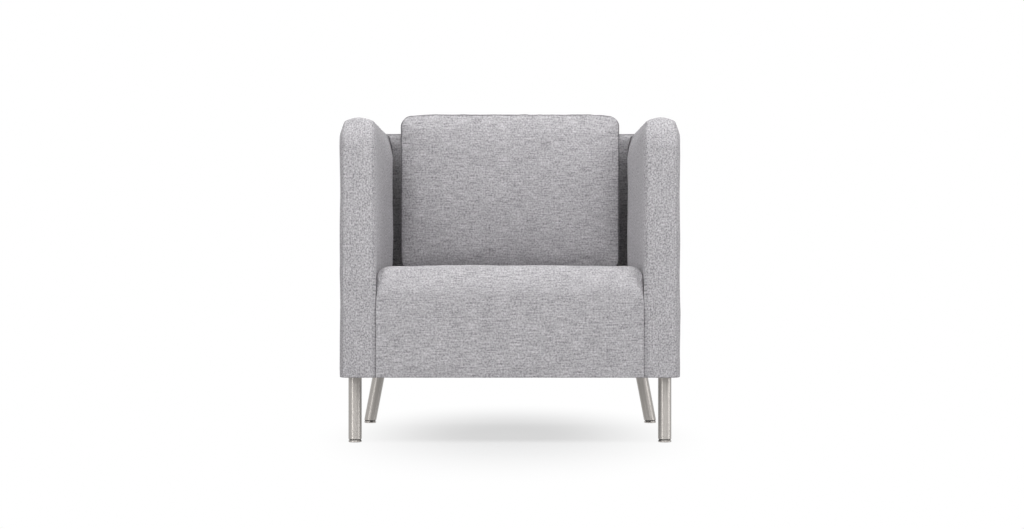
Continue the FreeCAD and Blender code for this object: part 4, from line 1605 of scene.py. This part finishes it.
@dataclass
class DustCover:
    """Thin black cloth stapled under the frame and cut out round the leg plates."""

    half_width: float = UNDER_HALF_WIDTH
    half_depth: float = UNDER_HALF_DEPTH
    level: float = UNDER_HEIGHT - 0.15
    thickness: float = 0.5
    cuts: tuple[int, int] = (76, 74)
    # It sags by this much, from and to these distances from its edge.
    sag: float = 1.0
    sags_between: tuple[float, float] = (15.0, 160.0)
    pucker: float = 0.22
    pucker_reach: float = 30.0
    most_pucker: float = 0.6
    pressed_edge: float = 14.0
    pressed: float = 0.25
    plate_depth: float = 70.0
    plate_gap: float = 0.6
    staple: tuple[float, float, float] = (10.0, 1.2, 0.6)
    staple_level: float = 152.6
    staple_inset: float = 8.0
    staple_pitch: float = 62.0
    staple_rows: tuple[float, float] = (330.0, 270.0)
    staple_gap: float = 6.0
    holes: list[tuple[float, float, float, float]] = field(init=False)

    def __post_init__(self) -> None:
        """Takes the holes from the right leg plates: low x, high x, low y and high y of each."""
        self.holes = []
        for leg in ("front_leg_right", "rear_leg_right"):
            low, high = box_mm(leg)
            near, far = low.y - self.plate_gap, low.y + self.plate_depth + self.plate_gap
            self.holes.append((low.x - self.plate_gap, high.x + 0.1, near, far))

    def over_plate(self, x: float, y: float, margin: float = 0.0) -> bool:
        """Says whether a place lies over a leg plate.

        Args:
            x: the place from left to right.
            y: the place from front to rear.
            margin: how far from a hole still counts.

        Returns:
            Whether it does, on either side of the chair.
        """
        return any(
            low_x - margin < abs(x) < high_x + margin and low_y - margin < y < high_y + margin
            for low_x, high_x, low_y, high_y in self.holes
        )

    def cut_out(self) -> bpy.types.Mesh:
        """Cuts the cloth out round the plates and lets it sag between its staples.

        Returns:
            The sheet's mesh, without thickness.
        """
        xs = np.linspace(-self.half_width, self.half_width, self.cuts[0])
        ys = np.linspace(-self.half_depth, self.half_depth, self.cuts[1])
        for low_x, high_x, low_y, high_y in self.holes:
            xs = np.concatenate([xs, [low_x, high_x, -low_x, -high_x]])
            ys = np.concatenate([ys, [low_y, high_y]])
        xs, ys = np.unique(xs.round(3)), np.unique(ys.round(3))
        gx, gy = np.meshgrid(xs, ys, indexing="ij")
        spots = np.stack([gx.ravel(), gy.ravel(), np.zeros(gx.size)], axis=1)
        number = np.arange(gx.size).reshape(gx.shape)
        quads = []
        for i in range(len(xs) - 1):
            for j in range(len(ys) - 1):
                if self.over_plate((xs[i] + xs[i + 1]) / 2, (ys[j] + ys[j + 1]) / 2):
                    continue
                low, high = number[i : i + 2, j], number[i : i + 2, j + 1]
                quads.append([low[0], high[0], high[1], low[1]])
        edge = np.minimum(self.half_width - np.abs(spots[:, 0]), self.half_depth - np.abs(spots[:, 1]))
        ripple = Ripple(seed=51, length=55).at(spots)
        pucker = self.pucker * (1 + ripple) * np.exp(-edge / self.pucker_reach)
        spots[:, 2] = self.level - self.sag * smooth_step(*self.sags_between, edge)
        spots[:, 2] -= np.clip(pucker, 0, self.most_pucker)
        spots[:, 2] -= np.where(edge < self.pressed_edge, self.pressed, 0)
        mesh = bpy.data.meshes.new("dust_cover_sheet")
        mesh.from_pydata((spots * MM).tolist(), [], quads)
        return mesh

    def build(self, shop: Workshop) -> bpy.types.Object:
        """Makes the stretched sheet.

        Args:
            shop: where its finish comes from.

        Returns:
            The new piece.
        """
        mesh = self.cut_out()
        piece = bpy.data.objects.new("dust_cover_sheet", mesh)
        bpy.context.scene.collection.objects.link(piece)
        select_only(piece)
        bpy.ops.object.mode_set(mode="EDIT")
        bpy.ops.mesh.select_all(action="SELECT")
        bpy.ops.mesh.delete_loose()
        bpy.ops.object.mode_set(mode="OBJECT")
        modify(piece, "SOLIDIFY", {"thickness": self.thickness * MM, "offset": 1})
        mesh.shade_smooth()
        shop.dress(piece, shop.take(Finish.dust_cloth.value))
        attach(piece, "chair")
        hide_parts("dust_cover")
        return piece

    def staples(self, shop: Workshop) -> bpy.types.Object:
        """Makes the staples along the sheet's edge.

        Args:
            shop: where their finish comes from.

        Returns:
            The new piece.
        """
        bpy.ops.object.select_all(action="DESELECT")
        bpy.ops.mesh.primitive_cube_add(size=1, location=(0, 0, self.staple_level * MM))
        bpy.ops.transform.resize(value=[length * MM for length in self.staple])
        piece = begin("dust_cover_staples")
        modify(piece, "BEVEL", {"width": 0.25 * MM, "segments": 2})
        row = self.half_depth - self.staple_inset
        column = self.half_width - self.staple_inset
        aside, along = (np.arange(-end, end + 1, self.staple_pitch) for end in self.staple_rows)
        places = [(x, y) for x in aside for y in (-row, row)]
        places += [(x, y) for y in along for x in (-column, column)]
        free = [place for place in places if not self.over_plate(*place, self.staple_gap)]
        piece = copies(piece, [(x * MM, y * MM, 0) for x, y in free])
        shop.dress(piece, shop.take(Finish.zinc_steel.value))
        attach(piece, "chair")
        return piece


@dataclass
class Zip:
    """The zip in the cushion's underside: two woven tapes, a coil of teeth and a slider."""

    pitch: float = 2.2
    tooth: tuple[float, float, float] = (1.25, 2.6, 1.7)
    # How far the teeth lie from the middle and under the tape's top, and how far they stop from its end.
    tooth_aside: float = 1.05
    tooth_drop: float = 1.65
    tooth_stop: float = 8.0
    # The tapes lie this far from the middle, and between these depths under the frame's tape.
    tape_gap: float = 0.3
    tape_depths: tuple[float, float] = (0.75, 0.1)
    # The slider's plate, and the share of its width that the channel for the teeth takes.
    slider_plate: float = 0.8
    slider_channel: float = 0.72

    def build_tape(self, shop: Workshop) -> bpy.types.Object:
        """Makes both tapes with their row of teeth.

        Args:
            shop: where its finish comes from.

        Returns:
            The new piece.
        """
        low, high = box_mm("zip_tape")
        middle = (low.y + high.y) / 2
        parts = []
        xs = np.linspace(low.x, high.x, 81)
        zs = high.z - np.array(self.tape_depths)
        for way in (-1, 1):
            span = sorted((middle + way * self.tape_gap, middle + way * (high.y - middle)))
            grid = Grid.cut(xs, np.linspace(*span, 7), zs)
            parts.append(grid.to_piece("zip_tape_and_coil", grid.points))
        reach = high.x - self.tooth_stop
        for way in (-1, 1):
            place = (0, (middle + way * self.tooth_aside) * MM, (high.z - self.tooth_drop) * MM)
            bpy.ops.object.select_all(action="DESELECT")
            bpy.ops.mesh.primitive_cube_add(size=1, location=place)
            bpy.ops.transform.resize(value=[length * MM for length in self.tooth])
            tooth = begin("tooth")
            modify(tooth, "BEVEL", {"width": 0.35 * MM, "segments": 2})
            # The two rows mesh: each is shifted by a quarter of the pitch, the opposite way.
            shift = self.pitch / 4 * way
            spots = [((x + shift) * MM, 0, 0) for x in np.arange(-reach, reach, self.pitch)]
            parts.append(copies(tooth, spots))
        piece = join(parts)
        shop.dress(piece, shop.take(Finish.zip_tape.value))
        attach(piece, "back_cushion")
        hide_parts("zip_tape")
        return piece

    def build_slider(self, shop: Workshop) -> bpy.types.Object:
        """Makes the slider, a rounded shell over the teeth with a channel for them.

        Args:
            shop: where its finish comes from.

        Returns:
            The new piece.
        """
        low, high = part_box("zip_slider")
        centre, size = (low + high) / 2, high - low
        bpy.ops.object.select_all(action="DESELECT")
        plate = self.slider_plate * MM
        place = (centre.x, centre.y, low.z + plate / 2)
        bpy.ops.mesh.primitive_cube_add(size=1, location=place)
        bpy.ops.transform.resize(value=(size.x, size.y, plate))
        piece = begin("zip_slider_body")
        pick(piece, lambda face: abs(face.normal.y) > 0.9)
        bpy.ops.object.mode_set(mode="EDIT")
        bpy.ops.mesh.select_mode(type="FACE")
        bpy.ops.mesh.inset(thickness=0.05 * MM, depth=0)
        bpy.ops.object.mode_set(mode="OBJECT")
        pick(piece, lambda face: face.normal.z > 0.9)
        bpy.ops.object.mode_set(mode="EDIT")
        bpy.ops.mesh.subdivide(number_cuts=7)
        bpy.ops.object.mode_set(mode="OBJECT")
        rim = size.y / 2 * self.slider_channel
        pick(piece, lambda face: face.normal.z > 0.9 and abs(face.center.y - centre.y) > rim)
        bpy.ops.object.mode_set(mode="EDIT")
        bpy.ops.mesh.extrude_region_move(TRANSFORM_OT_translate={"value": (0, 0, size.z - 1.0 * MM)})
        bpy.ops.object.mode_set(mode="OBJECT")
        modify(piece, "BEVEL", {"width": 0.22 * MM, "segments": 2})
        piece.data.shade_smooth()
        shop.dress(piece, shop.take(Finish.zip_metal.value))
        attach(piece, "zip_runner")
        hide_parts("zip_slider")
        return piece


@dataclass
class HardFrame:
    """The nodes that come straight from the frame: they only get their finish."""

    across: tuple[str, ...] = ("back_top_rail", "back_bottom_rail", "seat_front_rail", "seat_rear_rail")

    def dress(self, shop: Workshop) -> int:
        """Dresses every shown node by the slot it has in the record.

        Args:
            shop: where the finishes come from.

        Returns:
            How many nodes were dressed.
        """
        slots = {row["node"]: row["material_slot"] for row in frame["record"]["subparts"]}
        hard = [name for name in frame["nodes"] if slots[name] in Finish.__members__]
        for name in hard:
            finish = Finish[slots[name]].value
            if name in self.across:
                finish = replace(finish, name="sawn_pine_across", grain=(90.0, 3.5, 3.5))
            elif "_post_" in name:
                finish = replace(finish, name="sawn_pine_upright", grain=(3.5, 3.5, 90.0))
            shop.dress(frame["nodes"][name], shop.take(finish))
        return len(hard)


# ---- studio
@dataclass
class Studio:
    """A white floor and backdrop, soft lamps, and the camera."""

    camera_place: tuple[float, float, float] = (0.0047, -5.251, 0.4007)
    lens: float = 76.8
    sensor: float = 36.0
    floor_size: float = 60.0
    floor_drop: float = 0.5
    shadow_squeeze: tuple[float, float, float] = (2.4, 0.95, 1.0)
    shadow_shift: tuple[float, float, float] = (0.0, 0.1, 0.0)
    shadow_fade: tuple[float, float] = (0.15, 1.15)
    least_white: float = 0.66
    soft_light: float = 0.05

    def build(self) -> None:
        """Makes the whole set."""
        self.add_camera()
        self.add_floor()
        self.add_world()
        self.add_lamp("overhead", (0.0, -1.7, 3.05), (0, 0, 0.5), (5.0, 2.2), 122)
        self.add_lamp("front", (0.0, -5.0, 2.2), (0, 0, 0.45), (5.0, 1.6), 37)
        self.add_lamp("left_strip", (-3.3, -3.6, 0.8), (0, 0, 0.3), (0.9, 1.5), 38)
        self.add_lamp("right_strip", (3.6, -0.9, 0.8), (0, 0, 0.3), (1.0, 1.5), 24)
        self.add_lamp("left_high", (-3.0, -0.8, 2.6), (0, 0, 0.6), (1.0, 1.0), 15)
        self.add_lamp("right_high", (3.3, -1.6, 2.4), (0, 0, 0.6), (1.0, 1.0), 33)
        self.add_lamp("rear_fill", (0.0, 2.8, 3.0), (0, 0, 0.4), (4.0, 2.0), 60)

    def add_camera(self) -> None:
        """Adds the level camera in front of the chair."""
        data = bpy.data.cameras.new("camera")
        data.lens = self.lens
        data.sensor_width = self.sensor
        camera = bpy.data.objects.new("camera", data)
        camera.location = self.camera_place
        camera.rotation_euler = (math.pi / 2, 0, 0)
        bpy.context.scene.collection.objects.link(camera)
        bpy.context.scene.camera = camera
        bpy.context.scene.view_settings.view_transform = "Standard"

    def seen(self, tree: bpy.types.NodeTree) -> bpy.types.NodeSocket:
        """Adds 1 for what the camera sees directly, in a mirror or through glass, and 0 for the rest.

        Args:
            tree: the nodes it goes into.

        Returns:
            The factor.
        """
        path = add_node(tree, "LightPath").outputs
        direct = maths(tree, "MAXIMUM", path["Is Camera Ray"], path["Is Glossy Ray"])
        return maths(tree, "MAXIMUM", direct, path["Is Transmission Ray"])

    def add_floor(self) -> None:
        """Adds the floor, which stays white but keeps the chair's soft shadow."""
        bpy.ops.object.select_all(action="DESELECT")
        bpy.ops.mesh.primitive_plane_add(size=self.floor_size, location=(0, 0, -self.floor_drop * MM))
        floor = begin("floor")
        material, tree = new_material("white_studio_floor")
        paint = add_node(tree, "BsdfDiffuse", {}, {"Color": linear("#B4B4B5")})
        glow = add_node(tree, "Emission", {}, {"Color": linear("#FFFFFF"), "Strength": 1.0})
        place = add_node(tree, "TexCoord").outputs["Object"]
        # The shadow is kept in an oval under the chair, and fades into the white outside it.
        oval = add_node(
            tree,
            "VectorMath",
            {"operation": "MULTIPLY_ADD"},
            {0: place, 1: self.shadow_squeeze, 2: self.shadow_shift},
        )
        distance = add_node(tree, "VectorMath", {"operation": "LENGTH"}, {0: oval.outputs[0]})
        inside, outside = self.shadow_fade
        far = add_node(
            tree,
            "MapRange",
            {"interpolation_type": "SMOOTHSTEP"},
            {
                "Value": distance.outputs["Value"],
                "From Min": inside,
                "From Max": outside,
                "To Min": self.least_white,
            },
        )
        share = maths(tree, "MULTIPLY", far.outputs[0], self.seen(tree))
        mix = add_node(tree, "MixShader", {}, {0: share, 1: paint.outputs[0], 2: glow.outputs[0]})
        add_node(tree, "OutputMaterial", {}, {"Surface": mix.outputs[0]})
        floor.data.materials.append(material)

    def add_world(self) -> None:
        """Adds the backdrop: white where it is seen, a plain soft light elsewhere."""
        world = bpy.data.worlds.new("studio")
        bpy.context.scene.world = world
        world.use_nodes = True
        tree = world.node_tree
        tree.nodes.clear()
        links = {"Value": self.seen(tree), "To Min": self.soft_light, "To Max": 1.0}
        strength = add_node(tree, "MapRange", {}, links)
        sky = add_node(
            tree, "Background", {}, {"Color": linear("#FFFFFF"), "Strength": strength.outputs[0]}
        )
        add_node(tree, "OutputWorld", {}, {"Surface": sky.outputs[0]})

    def add_lamp(
        self, name: str, place: tuple, aim: tuple, size: tuple[float, float], power: float
    ) -> None:
        """Adds one soft rectangular lamp.

        Args:
            name: the lamp's name.
            place: where it stands.
            aim: the point it faces.
            size: its width and height.
            power: its power in watts.
        """
        data = bpy.data.lights.new(name, "AREA")
        data.shape = "RECTANGLE"
        data.size, data.size_y = size
        data.energy = power
        lamp = bpy.data.objects.new(name, data)
        lamp.location = place
        lamp.rotation_euler = (Vector(aim) - Vector(place)).to_track_quat("-Z", "Y").to_euler()
        bpy.context.scene.collection.objects.link(lamp)


def main() -> None:
    """Builds the chair's pieces in order and reports each."""
    logging.basicConfig(level=logging.INFO, format="%(message)s")
    shop = Workshop()
    Studio().build()
    LOG.info("dressed %d frame nodes", HardFrame().dress(shop))
    dust = DustCover()
    fastening = Zip()
    steps = [
        Arm(Side.LEFT).build,
        Arm(Side.RIGHT).build,
        Back().build,
        Seat().build,
        Cushion().build,
        Springs().build,
        Webbing().build,
        Insulator().build,
        dust.build,
        dust.staples,
        fastening.build_tape,
        fastening.build_slider,
    ]
    for step in steps:
        piece = step(shop)
        LOG.info("%s: %d faces", piece.name, len(piece.data.polygons))


if __name__ == "__main__":
    main()
